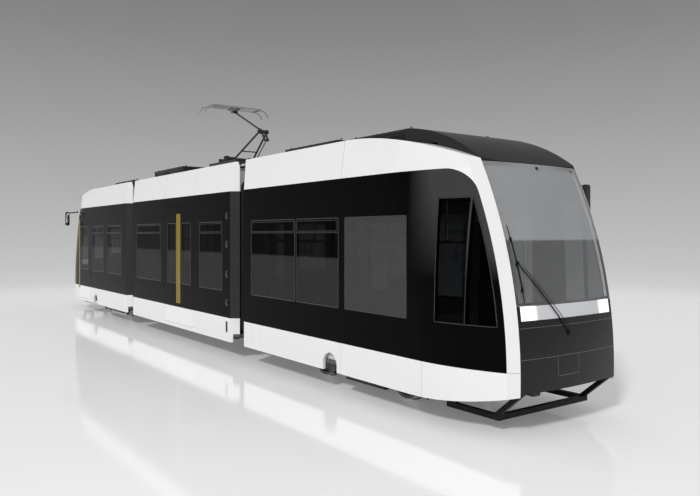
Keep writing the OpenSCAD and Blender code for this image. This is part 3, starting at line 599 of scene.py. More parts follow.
def copy_of(piece, move=(0, 0, 0), turn=0.0):
    """A copy with its own mesh, turned about Z at the origin and then moved."""
    bpy.ops.object.select_all(action="DESELECT")
    piece.select_set(True)
    bpy.context.view_layer.objects.active = piece
    bpy.ops.object.duplicate(linked=False)
    made = bpy.context.object
    made.parent = None
    made.rotation_euler = (0, 0, turn)
    made.location = move
    bpy.ops.object.transform_apply(location=True, rotation=True, scale=True)
    return made


def rear_copy(piece):
    """The rear section's own copy of a front section's piece, half a turn round."""
    made = copy_of(piece, turn=HALF_TURN)
    made.name = made.data.name = piece.name.replace("front_", "rear_", 1)
    replaced = list(piece.get("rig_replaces", []))
    if replaced:
        del made["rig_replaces"]
        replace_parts(made, *[n.replace("front_", "rear_", 1) for n in replaced])
    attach(made, piece["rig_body"].replace("front_", "rear_", 1))
    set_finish(made, piece["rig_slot"])
    return made


def both_ends(piece, finish_name, slot, body="front_car", angle=35.0, replaced=()):
    """Closes a front piece and makes its rear copy."""
    end(piece, finish_name, slot, body, angle, replaced)
    return piece, rear_copy(piece)


def lay(piece, where):
    """Moves each point of a piece by code where the nose curves."""
    for v in piece.data.vertices:
        v.co = where(v.co)


# ---- side windows and their frames

NEAR = ((END_X + 0.341, END_X + 1.651), (END_X + 1.681, END_X + 2.724), (END_X + 2.854, NOSE_X - 0.251))
FAR = ((END_X + 0.449, END_X + 1.564), (END_X + 1.844, END_X + 2.863))
MIDDLE = ((-2.187, -0.745), (1.175, 2.113))
END_DOOR = (NOSE_X - 1.225, NOSE_X - 0.170)
MID_DOOR = (-0.508, 0.920)
MID_SPLIT = 0.206
TRANSOM = 2.09
OUT, IN = HALF_W - 0.0004, HALF_W - 0.0065


def sash(side, x0, x1, z0=SILL, z1=HEAD, hopper=True):
    """One window's frame, with a tilting hopper in its head where it has one."""
    window_ring(side, x0, x1, z0, z1, 0.011, IN, OUT)
    if hopper:
        window_ring(side, x0 + 0.03, x1 - 0.03, TRANSOM + 0.018, z1 - 0.03, 0.007, IN, OUT, 0.015)
        block((x0 + 0.011, min(side * IN, side * OUT), TRANSOM - 0.004),
              (x1 - 0.011, max(side * IN, side * OUT), TRANSOM + 0.004), 0.0015)


piece = begin("front_window_frames")
for i, (x0, x1) in enumerate(NEAR):
    sash(-1, x0, x1)
for x0, x1 in FAR:
    sash(1, x0, x1)
sash(1, END_DOOR[0] + 0.135, END_DOOR[1] - 0.135, SILL + 0.005, HEAD, False)
both_ends(piece, "trim_grey", "dark_plastic")

for side, name in ((-1, "near"), (1, "door")):
    def cab_point(x, z, s=side):
        return (x, s * (nose_side(x, z) - 0.004), z)

    def arc_x(z, rho=4.95):
        return AXIS_X + math.sqrt(rho ** 2 - (z - AXIS_Z) ** 2)
    z0, z1 = 1.132, 2.458
    ring = [cab_point(7.304 + (arc_x(z0) - 7.304) * i / 16, z0) for i in range(16)]
    ring += [cab_point(arc_x(z0 + (z1 - z0) * i / 24), z0 + (z1 - z0) * i / 24) for i in range(24)]
    ring += [cab_point(arc_x(z1) + (7.304 - arc_x(z1)) * i / 10, z1) for i in range(10)]
    ring += [cab_point(7.304, z1 + (z0 - z1) * i / 12) for i in range(12)]
    post = [cab_point(7.68, z0 + (z1 - z0) * i / 20) for i in range(21)]
    piece = joined("front_cab_frame_" + name, [tube(ring, 0.0055, True), tube(post, 0.005)])
    both_ends(piece, "trim_grey", "dark_plastic")

piece = begin("middle_window_frames")
for side in (-1, 1):
    for x0, x1 in MIDDLE:
        a, b = sorted((-side * x0, -side * x1))
        sash(side, a, b)
    for x0, x1 in ((MID_DOOR[0] + 0.135, MID_SPLIT - 0.133), (MID_SPLIT + 0.133, MID_DOOR[1] - 0.135)):
        a, b = sorted((-side * x0, -side * x1))
        sash(side, a, b, SILL + 0.005, HEAD, False)
end(piece, "trim_grey", "dark_plastic", "middle_car")

# ---- doors: yellow edge strips, rubber edges and push buttons

STRIP_OUT = HALF_W + 0.003


def on_side(side, x0, x1, z0, z1, y0, y1, edge=0.001):
    """A block on a side wall, between two distances from the middle plane."""
    low, high = sorted((side * y0, side * y1))
    block((min(x0, x1), low, z0), (max(x0, x1), high, z1), edge)


piece = begin("middle_door_strips")
for side in (-1, 1):
    for x0, x1 in ((MID_SPLIT - 0.108, MID_SPLIT - 0.0035), (MID_SPLIT + 0.0035, MID_SPLIT + 0.092)):
        on_side(side, -side * x0, -side * x1, 0.75, 2.46, HALF_W - 0.001, STRIP_OUT)
end(piece, "door_yellow", "gloss_black", "middle_car")

piece = begin("front_door_strip")
on_side(1, END_DOOR[1] - 0.118, END_DOOR[1] - 0.006, 0.61, 2.485, HALF_W - 0.001, STRIP_OUT)
both_ends(piece, "door_yellow", "gloss_black")

piece = begin("middle_door_edges")
for side in (-1, 1):
    for x in (MID_SPLIT - 0.001, MID_DOOR[0] + 0.002, MID_DOOR[1] - 0.002):
        on_side(side, -side * (x - 0.0022), -side * (x + 0.0022), 0.366, 2.592, HALF_W - 0.05, HALF_W - 0.004)
    for x in (MID_DOOR[0] - 0.10, MID_DOOR[1] + 0.08):
        on_side(side, -side * (x - 0.03), -side * (x + 0.03), 1.02, 1.10, HALF_W - 0.002, HALF_W + 0.004, 0.003)
        lathe((-side * x, side * (HALF_W + 0.003), 1.06), (0, side, 0),
              [(0, 0.020), (0.004, 0.020), (0.006, 0.017), (0.004, 0.015), (0.0045, 0.004)])
end(piece, "rubber", "dark_plastic", "middle_car")

piece = begin("front_door_edges")
for x in (END_DOOR[0] + 0.002, END_DOOR[1] - 0.002):
    on_side(1, x - 0.0017, x + 0.0017, 0.40, 2.592, HALF_W - 0.05, HALF_W - 0.004)
on_side(1, END_DOOR[0] - 0.13, END_DOOR[0] - 0.07, 1.02, 1.10, HALF_W - 0.002, HALF_W + 0.004, 0.003)
lathe((END_DOOR[0] - 0.10, HALF_W + 0.003, 1.06), (0, 1, 0),
      [(0, 0.020), (0.004, 0.020), (0.006, 0.017), (0.004, 0.015), (0.0045, 0.004)])
both_ends(piece, "rubber", "dark_plastic")

# Small round fittings down the middle section's end post, with a tall one below
piece = begin("middle_side_fittings")
for side in (-1, 1):
    for z in (2.38, 1.906, 1.403, 0.93):
        lathe((-side * 2.30, side * (HALF_W - 0.001), z), (0, side, 0),
              [(0, 0.038), (0.006, 0.038), (0.010, 0.033), (0.010, 0.026), (0.022, 0.020), (0.027, 0.010), (0.028, 0.002)])
        on_side(side, -side * 2.27, -side * 2.33, z - 0.055, z + 0.055, HALF_W - 0.001, HALF_W + 0.004, 0.003)
    on_side(side, -side * 2.275, -side * 2.325, 0.44, 0.62, HALF_W - 0.001, HALF_W + 0.010, 0.006)
    on_side(side, -side * 2.287, -side * 2.313, 0.46, 0.60, HALF_W + 0.008, HALF_W + 0.016, 0.005)
end(piece, "trim_grey", "dark_plastic", "middle_car")

# ---- front: windscreen edge, sign box, wiper, lamps, hatch and camera

def nose_point(y, z, out=0.0):
    return (nose_front(y, z, out), y, z)


def nose_line(y0, z0, y1, z1, out, steps=24):
    """Points on the front between two places, held out from its face."""
    return [nose_point(y0 + (y1 - y0) * i / steps, z0 + (z1 - z0) * i / steps, out) for i in range(steps + 1)]


def nose_sheet(name, y0, y1, z0, z1, out, thick, across=24, up=24, keep=None):
    """A thin sheet that follows the front, cut out where keep says so."""
    bpy.ops.object.select_all(action="DESELECT")
    bpy.ops.mesh.primitive_grid_add(x_subdivisions=across, y_subdivisions=up, size=1)
    sheet = bpy.context.object
    sheet.name = sheet.data.name = name
    bpy.ops.object.mode_set(mode="EDIT")
    if keep:
        pick(lambda centre, normal: not keep(y0 + (y1 - y0) * (centre.x + 0.5), z0 + (z1 - z0) * (centre.y + 0.5)))
        bpy.ops.mesh.delete(type="FACE")
    bpy.ops.mesh.select_all(action="SELECT")
    bpy.ops.object.mode_set(mode="OBJECT")
    lay(sheet, lambda p: nose_point(y0 + (y1 - y0) * (p.x + 0.5), z0 + (z1 - z0) * (p.y + 0.5), out))
    solid = sheet.modifiers.new("thickness", "SOLIDIFY")
    solid.thickness = thick
    solid.offset = -1.0
    bpy.ops.object.modifier_apply(modifier="thickness")
    return sheet


SCREEN = (1.341, 2.849)
edge_y, edge_top, edge_low = 0.045, 0.05, 0.035
piece = nose_sheet("front_screen_edge", -0.797, 0.797, *SCREEN, -0.0152, 0.002, 71, 61,
                   lambda y, z: abs(y) > 0.797 - edge_y or z > SCREEN[1] - edge_top or z < SCREEN[0] + edge_low)
both_ends(piece, "rubber", "dark_plastic")

piece = begin("front_sign_box")
block((7.44, -0.66, 2.475), (7.665, 0.66, 2.735), 0.012, 3)
pick_front = lambda centre, normal: normal.x > 0.9
bpy.ops.mesh.reveal(select=True)
pick(pick_front)
bpy.ops.mesh.inset(thickness=0.02)
bpy.ops.mesh.extrude_region_move(TRANSFORM_OT_translate={"value": (-0.006, 0, 0)})
shelve()
for i in range(9):
    y = -0.56 + i * 0.14
    block((7.6605, y - 0.062, 2.512), (7.6625, y + 0.062, 2.698), 0.001)
both_ends(piece, "dark_plastic", "dark_plastic")

arm = [nose_point(-0.07, 1.03, 0.012)] + nose_line(-0.10, 1.07, -0.62, 1.67, 0.014, 14) + [nose_point(-0.715, 1.775, 0.020)]
blade = nose_line(-0.748, 2.16, -0.700, 1.372, 0.012, 20)
carrier = nose_line(-0.743, 2.02, -0.708, 1.50, 0.022, 14)
thin = [nose_point(-0.09, 1.10, 0.020)] + nose_line(-0.14, 1.17, -0.64, 1.73, 0.022, 12)
wiper = [tube(arm, 0.0065), tube(blade, 0.0045), tube(carrier, 0.004), tube(thin, 0.0032)]
piece = begin("front_wiper")
lathe(nose_point(-0.07, 1.03, -0.002), (1, 0, 0.09), [(0, 0.034), (0.007, 0.034), (0.010, 0.028), (0.016, 0.024), (0.018, 0.010)])
lathe(nose_point(-0.715, 1.775, 0.008), (1, 0, 0.23), [(0, 0.016), (0.020, 0.016), (0.024, 0.012)], 16)
for z in (2.02, 1.76, 1.50):
    y = -0.700 - 0.048 * (z - 1.372) / 0.788
    a = nose_point(y, z, 0.006)
    block((a[0] - 0.008, a[1] - 0.007, a[2] - 0.02), (a[0] + 0.018, a[1] + 0.007, a[2] + 0.02), 0.003)
piece = joined("front_wiper", [close()] + wiper)
both_ends(piece, "guard_black", "guard_black", angle=50)

# Round lamps in both ends of the lamp bar, behind a clear edge
piece = begin("front_lamps")
for side in (-1, 1):
    for y in (0.585, 0.655, 0.722):
        lathe(nose_point(side * y, 1.2645, -0.006), (1, side * 0.11, 0.13),
              [(0, 0.029), (0.0045, 0.029), (0.006, 0.026), (0.0035, 0.022), (0.0055, 0.012), (0.0060, 0.003)])
both_ends(piece, "lamp_glass", "lamp_glass")

# Hatch in the mask and its two catches
hatch = nose_sheet("front_hatch", -0.256, 0.076, 0.604, 0.8015, 0.0008, 0.003, 14, 8)
piece = begin("hatch_catches")
for y in (-0.21, 0.03):
    lathe(nose_point(y, 0.775, 0.0), (1, 0, 0), [(0, 0.011), (0.0015, 0.011), (0.0022, 0.008)], 16)
piece = joined("front_hatch", [close(), hatch])
both_ends(piece, "mask_black", "gloss_black")

# A small round camera high in the middle of the front, and a smaller housing further out
piece = begin("front_camera")
for y in (0.0,):
    lathe(nose_point(y, 2.80, -0.004), (1, 0, 0.45), [(0, 0.020), (0.010, 0.020), (0.014, 0.016), (0.014, 0.009), (0.010, 0.007)], 16)
lathe(nose_point(0.66, 2.80, -0.004), (1, 0.1, 0.45), [(0, 0.012), (0.006, 0.012), (0.008, 0.009)], 16)
both_ends(piece, "dark_plastic", "dark_plastic")

# ---- mirrors

piece = begin("front_mirror_housing")
block((7.425, 1.275, 2.315), (7.505, 1.388, 2.70), 0.034, 5)
bpy.ops.mesh.reveal(select=True)
pick(lambda centre, normal: normal.z < -0.9)
bpy.ops.transform.resize(value=(0.5, 0.55, 1), center_override=(7.465, 1.30, 2.315))
shelve()
rod((7.463, 1.33, 2.66), (7.455, 1.06, 2.70), 0.016, 16)
lathe((7.455, 1.075, 2.698), (0, -1, 0.02), [(0, 0.020), (0.008, 0.030), (0.020, 0.034)], 20)
both_ends(piece, "dark_plastic", "dark_plastic", angle=50, replaced=("front_mirror",))
piece = begin("front_mirror_glass")
block((7.421, 1.292, 2.40), (7.427, 1.372, 2.66), 0.003)
both_ends(piece, "mirror_glass", "dark_plastic")

# ---- bellows between the sections

BELLOWS_Y, BELLOWS_LOW, BELLOWS_TOP = 0.998, 0.441, 2.949
PLEATS = 8
piece = begin("front_bellows_pleats")
middle_z = (BELLOWS_LOW + BELLOWS_TOP) / 2
length = END_X - MID_END - 0.002
bpy.ops.mesh.primitive_plane_add(size=1, location=(MID_END + 0.001, 0, middle_z), rotation=(0, math.pi / 2, 0))
bpy.ops.transform.resize(value=(1, 2 * BELLOWS_Y, BELLOWS_TOP - BELLOWS_LOW),
                         center_override=(MID_END + 0.001, 0, middle_z))
bpy.ops.mesh.bevel(offset=0.10, segments=5, affect="VERTICES")
bpy.ops.mesh.delete(type="ONLY_FACE")
bpy.ops.mesh.select_all(action="SELECT")
step = length / (4 * PLEATS)
fold_y, fold_z = 1 - 0.045 / BELLOWS_Y, 1 - 0.045 / (middle_z - BELLOWS_LOW)
for i in range(4 * PLEATS):
    bpy.ops.mesh.extrude_region_move(TRANSFORM_OT_translate={"value": (step, 0, 0)})
    fy, fz = ((1, 1), (fold_y, fold_z), (1, 1), (1 / fold_y, 1 / fold_z))[i % 4]
    bpy.ops.transform.resize(value=(1, fy, fz), center_override=(0, 0, middle_z))
bpy.ops.mesh.select_all(action="SELECT")
bpy.ops.mesh.normals_make_consistent(inside=False)
close()
skin = piece.modifiers.new("skin", "SOLIDIFY")
skin.thickness = 0.004
skin.offset = -1.0
bpy.ops.object.modifier_apply(modifier="skin")
bpy.ops.object.shade_smooth_by_angle(angle=math.radians(50))
piece.data.materials.clear()
piece.data.materials.append(FINISHES["bellows_rubber"])
rear = copy_of(piece, turn=HALF_TURN)
rear.name = rear.data.name = "rear_bellows_pleats"
for sleeve, end_name, s in ((piece, "front", 1), (rear, "rear", -1)):
    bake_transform(sleeve)
    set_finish(sleeve, "bellows_rubber")
    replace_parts(sleeve, end_name + "_bellows")

# ---- roof equipment

def louvres(x0, x1, side, y, z0, z1, count):
    """Slats down one side of a roof unit."""
    for i in range(count):
        z = z0 + (z1 - z0) * (i + 0.5) / count
        on_side(side, x0, x1, z - 0.006, z + 0.004, y - 0.002, y + 0.012, 0.002)
    for x in (x0 - 0.012, x1 + 0.012):
        on_side(side, x - 0.008, x + 0.008, z0, z1, y - 0.002, y + 0.014, 0.003)


def fan(x, y, z, r=0.22):
    """A fan's guard on a lid: rings, spokes and a hub."""
    lathe((x, y, z), (0, 0, 1), [(0, r + 0.03), (0.012, r + 0.03), (0.016, r + 0.02), (0.016, r), (0.004, r - 0.008),
                                 (0.004, 0.08), (0.022, 0.075), (0.026, 0.06)], 40)
    for ring in (0.11, 0.15, 0.19):
        bpy.ops.mesh.primitive_torus_add(location=(x, y, z + 0.014), major_radius=ring, minor_radius=0.003,
                                         major_segments=36, minor_segments=6)
        shelve()
    for i in range(8):
        a = i * math.pi / 4
        rod((x + 0.06 * math.cos(a), y + 0.06 * math.sin(a), z + 0.017),
            (x + (r + 0.01) * math.cos(a), y + (r + 0.01) * math.sin(a), z + 0.017), 0.004, 8)


def bolt_heads(points, axis, r=0.009, tall=0.006):
    for p in points:
        lathe(p, axis, [(0, r), (tall * 0.7, r), (tall, r * 0.8)], 6)


def roof_lid(x0, x1, half, top, slats, fans):
    """Lid, louvres, fans, bolts and lifting eyes of one roof unit."""
    block((x0 - 0.010, -half - 0.010, top - 0.030), (x1 + 0.010, half + 0.010, top + 0.010), 0.008, 3)
    middle = (x0 + x1) / 2
    block((middle - 0.004, -half - 0.012, top - 0.02), (middle + 0.004, half + 0.012, top + 0.013), 0.002)
    for side in (-1, 1):
        for a, b in ((x0 + 0.09, middle - 0.07), (middle + 0.07, x1 - 0.09)):
            louvres(a, b, side, half, DECK_Z + 0.045, top - 0.045, slats)
        on_side(side, x0 + 0.02, x1 - 0.02, DECK_Z, DECK_Z + 0.02, half - 0.01, half + 0.03, 0.004)
        bolt_heads([(x0 + 0.06 + i * (x1 - x0 - 0.12) / 5, side * (half - 0.03), top + 0.010) for i in range(6)],
                   (0, 0, 1))
        for x in (x0 + 0.03, x1 - 0.03):
            bpy.ops.mesh.primitive_torus_add(location=(x, side * (half - 0.08), top + 0.022), rotation=(math.pi / 2, 0, 0),
                                             major_radius=0.018, minor_radius=0.005, major_segments=20, minor_segments=8)
            shelve()
    for x, y in fans:
        fan(x, y, top + 0.010)


piece = begin("front_roof_covers")
roof_lid(3.55, 4.956, 0.75, RAIL_Z + 0.105, 7, ((3.90, 0.36), (3.90, -0.36), (4.60, 0.36), (4.60, -0.36)))
roof_lid(5.24, 6.435, 0.75, RAIL_Z + 0.075, 6, ((5.54, 0.0), (6.14, 0.0)))
both_ends(piece, "roof_unit_black", "roof_unit_black")

piece = begin("middle_roof_cover")
roof_lid(-2.25, -0.62, 0.72, RAIL_Z + 0.195, 10, ((-1.85, 0.34), (-1.85, -0.34), (-1.03, 0.34), (-1.03, -0.34)))
end(piece, "roof_unit_black", "roof_unit_black", "middle_car")

piece = begin("front_roof_ducts")
for side in (-1, 1):
    block((3.0, side * 0.88 - 0.05, DECK_Z - 0.001), (6.35, side * 0.88 + 0.05, DECK_Z + 0.05), 0.006)
    for i in range(9):
        x = 3.15 + i * 0.38
        block((x - 0.012, side * 0.88 - 0.054, DECK_Z), (x + 0.012, side * 0.88 + 0.054, DECK_Z + 0.054), 0.003)
for x in (3.12, 5.10):
    block((x - 0.05, -0.84, DECK_Z - 0.001), (x + 0.05, 0.84, DECK_Z + 0.04), 0.006)
both_ends(piece, "roof_unit_grey", "roof_unit_black")

piece = begin("middle_roof_ducts")
for side in (-1, 1):
    block((-2.40, side * 0.88 - 0.05, DECK_Z - 0.001), (2.40, side * 0.88 + 0.05, DECK_Z + 0.05), 0.006)
    for i in range(13):
        x = -2.28 + i * 0.38
        block((x - 0.012, side * 0.88 - 0.054, DECK_Z), (x + 0.012, side * 0.88 + 0.054, DECK_Z + 0.054), 0.003)
block((1.55, -0.45, DECK_Z - 0.001), (2.10, 0.45, DECK_Z + 0.16), 0.015, 3)
for i in range(8):
    block((1.60 + i * 0.06, -0.452, DECK_Z + 0.02), (1.612 + i * 0.06, 0.452, DECK_Z + 0.165), 0.003)
end(piece, "roof_unit_grey", "roof_unit_black", "middle_car")

# ---- pantograph

MAIN, KNUCKLE, HEAD_P, LEVER, ROD = (0.66, 3.53), (1.45, 3.98), (0.27, 4.52), (1.58, 3.81), (0.898, 3.249)
piece = begin("panto_insulators")
for x in (-0.03, 1.08):
    for side in (-1, 1):
        steps = [(0, 0.062), (0.02, 0.062)]
        for i in range(6):
            base = 0.03 + i * 0.045
            steps += [(base, 0.052), (base + 0.012, 0.078), (base + 0.020, 0.078), (base + 0.030, 0.052)]
        lathe((x, side * 0.36, DECK_Z), (0, 0, 1), steps + [(0.315, 0.05)], 32)
end(piece, "insulator_brown", "panto_grey", "middle_car")

coils = []
for side in (-1, 1):
    turns = 15
    pts = [(0.075 + 0.46 * i / (turns * 14), side * 0.20 + 0.032 * math.cos(i * math.pi / 7),
            3.535 + 0.032 * math.sin(i * math.pi / 7)) for i in range(turns * 14 + 1)]
    coils.append(tube(pts, 0.0055, sides=2))
piece = begin("panto_base_fittings")
for side in (-1, 1):
    rod((0.0, side * 0.20, 3.535), (0.60, side * 0.20, 3.535), 0.011, 16)
    block((0.055, side * 0.20 - 0.045, 3.485), (0.075, side * 0.20 + 0.045, 3.585), 0.004)
    block((0.535, side * 0.20 - 0.045, 3.485), (0.555, side * 0.20 + 0.045, 3.585), 0.004)
    lathe((MAIN[0], side * 0.392, MAIN[1]), (0, side, 0), [(0, 0.045), (0.012, 0.045), (0.018, 0.036), (0.018, 0.02), (0.026, 0.018)])
    for x in (-0.05, 0.30, 1.08):
        bolt_heads([(x, side * 0.36, 3.48)], (0, 0, 1), 0.014, 0.01)
block((0.03, -0.06, 3.44), (0.13, 0.06, 3.47), 0.006)
rod((-0.02, -0.26, 3.46), (-0.02, 0.26, 3.46), 0.02, 16)
piece = joined("panto_base_fittings", [close()] + coils)
end(piece, "panto_grey", "panto_grey", "middle_car", 50)

piece = begin("panto_arm_fittings")
t = 0.30
cross = (MAIN[0] + (KNUCKLE[0] - MAIN[0]) * t, MAIN[1] + (KNUCKLE[1] - MAIN[1]) * t)
reach = 0.200 - 0.122 * t
rod((cross[0], -reach, cross[1]), (cross[0], reach, cross[1]), 0.011, 14)
for side in (-1, 1):
    lathe((KNUCKLE[0], side * 0.098, KNUCKLE[1]), (0, side, 0), [(0, 0.034), (0.006, 0.034), (0.010, 0.027)], 24)
    rod((MAIN[0], side * 0.175, MAIN[1]), (MAIN[0], side * 0.225, MAIN[1]), 0.040, 24, 0.006)
end(piece, "panto_grey", "panto_grey", "panto_lower_arm")

piece = begin("panto_knuckle_fittings")
for side in (-1, 1):
    lathe((LEVER[0] - 0.002, side * 0.042, LEVER[1] + 0.004), (0, side, 0), [(0, 0.016), (0.008, 0.016), (0.011, 0.012)], 6)
lathe((KNUCKLE[0] - 0.03, 0, KNUCKLE[1] + 0.014), (-0.909, 0, 0.416), [(0, 0.030), (0.10, 0.026), (0.16, 0.020), (0.18, 0.0165)], 24)
end(piece, "panto_grey", "panto_grey", "panto_upper_arm")

# Flat pan between the strips, folded at its ends, with its leaf springs
piece = begin("panto_pan")
block((HEAD_P[0] - 0.108, -0.50, 4.582), (HEAD_P[0] + 0.108, 0.50, 4.588), 0.002)
for side in (-1, 1):
    block((HEAD_P[0] - 0.14, side * 0.49 - 0.012, 4.565), (HEAD_P[0] + 0.14, side * 0.49 + 0.012, 4.60), 0.004)
    for x in (-0.13, 0.13):
        block((HEAD_P[0] + x - 0.018, side * 0.057 - 0.016, 4.576), (HEAD_P[0] + x + 0.018, side * 0.057 + 0.016, 4.583), 0.002)
        bolt_heads([(HEAD_P[0] + x, side * 0.30, 4.580), (HEAD_P[0] + x, side * 0.44, 4.580)], (0, 0, -1), 0.008, 0.006)
end(piece, "head_alloy", "head_alloy", "panto_head")

# ---- bogies and wheels

piece = begin("front_bogie_fittings")
for a in AXLES:
    for side in (-1, 1):
        lathe((a, side * 0.758, 0.31), (0, side, 0), [(0, 0.098), (0.018, 0.098), (0.026, 0.088), (0.050, 0.080), (0.058, 0.060), (0.058, 0.02), (0.062, 0.015)], 32)
        bolt_heads([(a + 0.07 * math.cos(i * math.pi / 3), side * 0.804, 0.31 + 0.07 * math.sin(i * math.pi / 3)) for i in range(6)],
                   (0, side, 0), 0.008, 0.008)
    for s in (-1, 1):
        for side in (-1, 1):
            for i in range(4):
                x = a + s * (0.118 + 0.018 * i)
                block((x - 0.007, side * 0.71 - 0.042, 0.225), (x + 0.007, side * 0.71 + 0.042, 0.345), 0.003)
for side in (-1, 1):
    for x in (BOGIE_X - 0.36, BOGIE_X + 0.36):
        block((x - 0.055, side * 0.79 - 0.055, 0.160), (x + 0.055, side * 0.79 + 0.055, 0.172), 0.004)
        block((x - 0.055, side * 0.79 - 0.055, 0.318), (x + 0.055, side * 0.79 + 0.055, 0.330), 0.004)
        block((x - 0.03, side * 0.74 - 0.02, 0.318), (x + 0.03, side * 0.80, 0.330), 0.003)
    block((BOGIE_X - 0.44, side * 0.54 - 0.034, 0.040), (BOGIE_X + 0.44, side * 0.54 + 0.034, 0.052), 0.003)
    for x in (BOGIE_X - 0.30, BOGIE_X, BOGIE_X + 0.30):
        block((x - 0.012, side * 0.54 - 0.046, 0.045), (x + 0.012, side * 0.54 + 0.046, 0.116), 0.004)
    for x in (BOGIE_X - 0.38, BOGIE_X + 0.38):
        rod((x, side * 0.54, 0.105), (x, side * 0.54, 0.20), 0.012, 14)
        rod((x, side * 0.54, 0.20), (x, side * 0.67, 0.26), 0.012, 14)
for s in (-1, 1):
    for i in range(9):
        x = BOGIE_X + s * (0.185 + 0.042 * i)
        block((x - 0.004, -0.406, 0.152), (x + 0.004, 0.406, 0.30), 0.002)
    bolt_heads([(BOGIE_X + s * 0.563, y, z) for y in (-0.34, 0, 0.34) for z in (0.20, 0.30)], (s, 0, 0), 0.010, 0.008)
fittings, springs, pipes = close(), [], []
for side in (-1, 1):
    for x in (BOGIE_X - 0.36, BOGIE_X + 0.36):
        pts = [(x + 0.036 * math.cos(i * math.pi / 7), side * 0.79 + 0.036 * math.sin(i * math.pi / 7), 0.176 + 0.138 * i / 70)
               for i in range(71)]
        springs.append(tube(pts, 0.008, sides=2))
    for s in (-1, 1):
        x = BOGIE_X + s * 1.30
        pipes.append(tube(bent([(x - s * 0.42, side * 0.70, 0.30), (x - s * 0.05, side * 0.70, 0.30), (x - s * 0.02, side * 0.60, 0.22),
                                (x - s * 0.06, side * 0.56, 0.075)], 0.05), 0.013))
piece = joined("front_bogie_fittings", [fittings] + springs + pipes)
both_ends(piece, "bogie_grey", "bogie_grey", "front_bogie", 50)

for a, wheelset in zip(AXLES, ("outer", "inner")):
    piece = begin(f"front_{wheelset}_wheel_bolts")
    for side in (-1, 1):
        bolt_heads([(a + 0.16 * math.cos(i * math.pi / 4), side * 0.552, 0.31 + 0.16 * math.sin(i * math.pi / 4)) for i in range(8)],
                   (0, side, 0), 0.012, 0.014)
        bolt_heads([(a + 0.16 * math.cos(i * math.pi / 4), -side * -0.523, 0.31 + 0.16 * math.sin(i * math.pi / 4)) for i in range(8)],
                   (0, -side, 0), 0.012, 0.012)
        lathe((a, side * 0.30, 0.31), (0, side, 0), [(0, 0.10), (0.004, 0.172), (0.030, 0.175), (0.034, 0.10)], 40)
    both_ends(piece, "wheel_steel", "wheel_steel", f"front_{wheelset}_wheelset")

# ---- under the floors

def floor_ribs(x0, x1, half, step=0.36):
    """Cross ribs and two long sills under a floor."""
    count = int((x1 - x0) / step)
    for i in range(count + 1):
        x = x0 + i * (x1 - x0) / count
        block((x - 0.02, -half, 0.318), (x + 0.02, half, 0.376), 0.003)
    for side in (-1, 1):
        block((x0, side * (half - 0.12) - 0.03, 0.300), (x1, side * (half - 0.12) + 0.03, 0.376), 0.004)


piece = begin("front_floor_ribs")
floor_ribs(2.99, 4.02, 1.06)
floor_ribs(6.80, 7.30, 1.00, 0.25)
block((3.10, -0.75, 0.292), (3.90, -0.22, 0.37), 0.01)
block((3.10, 0.22, 0.292), (3.90, 0.75, 0.37), 0.01)
ribs = close()
pipes = [tube(bent([(2.95, y, 0.335), (4.05, y, 0.335), (4.15, y * 1.15, 0.360)]), 0.012) for y in (-0.14, -0.09, 0.09, 0.14)]
piece = joined("front_floor_ribs", [ribs] + pipes)
both_ends(piece, "underframe_grey", "underframe_grey")

piece = begin("middle_floor_ribs")
floor_ribs(-2.30, -0.62, 1.06)
floor_ribs(-0.50, 0.50, 1.02, 0.5)
floor_ribs(0.62, 2.30, 1.06)
for x0, x1 in ((-2.1, -1.0), (1.0, 2.1)):
    for side in (-1, 1):
        block((x0, side * 0.48 - 0.30, 0.290), (x1, side * 0.48 + 0.30, 0.37), 0.012)
        for i in range(10):
            x = x0 + 0.08 + i * (x1 - x0 - 0.16) / 9
            block((x - 0.012, side * 0.48 - 0.24, 0.286), (x + 0.012, side * 0.48 + 0.24, 0.292), 0.002)
ribs = close()
pipes = [tube([(-2.34, y, 0.34), (2.34, y, 0.34)], 0.012) for y in (-0.12, -0.07, 0.07, 0.12)]
piece = joined("middle_floor_ribs", [ribs] + pipes)
end(piece, "underframe_grey", "underframe_grey", "middle_car")

# ---- inside: linings, ceiling lamps, poles

INNER = HALF_W - 0.062


def lining(side, x0, x1, z0, z1):
    on_side(side, x0, x1, z0, z1, INNER - 0.006, INNER, 0.003)


def ceiling(x0, x1, z=2.62):
    """A ceiling with a crowned middle and rounded sides."""
    block((x0, -0.92, z), (x1, 0.92, z + 0.02), 0.008)
    for side in (-1, 1):
        block((x0, side * 0.99 - 0.085, z - 0.05), (x1, side * 0.99 + 0.085, z - 0.01), 0.02, 3)
        block((x0 + 0.05, side * 0.70 - 0.12, z - 0.012), (x1 - 0.05, side * 0.70 + 0.12, z + 0.001), 0.006)


piece = begin("front_lining")
lining(-1, END_X + 0.12, 6.99, FLOOR_Z + 0.002, SILL - 0.012)
lining(-1, END_X + 0.12, 6.99, HEAD + 0.012, 2.56)
lining(1, END_X + 0.12, END_DOOR[0] - 0.02, FLOOR_Z + 0.002, SILL - 0.012)
lining(1, END_X + 0.12, END_DOOR[0] - 0.02, HEAD + 0.012, 2.56)
for x0, x1 in ((END_X + 0.12, NEAR[0][0] - 0.012), (NEAR[0][1] + 0.008, NEAR[1][0] - 0.008),
               (NEAR[1][1] + 0.012, NEAR[2][0] - 0.012), (NEAR[2][1] + 0.012, 6.99)):
    lining(-1, x0, x1, SILL - 0.012, HEAD + 0.012)
for x0, x1 in ((END_X + 0.12, FAR[0][0] - 0.012), (FAR[0][1] + 0.012, FAR[1][0] - 0.012),
               (FAR[1][1] + 0.012, END_DOOR[0] - 0.02)):
    lining(1, x0, x1, SILL - 0.012, HEAD + 0.012)
ceiling(END_X + 0.06, 6.99)
both_ends(piece, "pale_lining", "grey_lining")

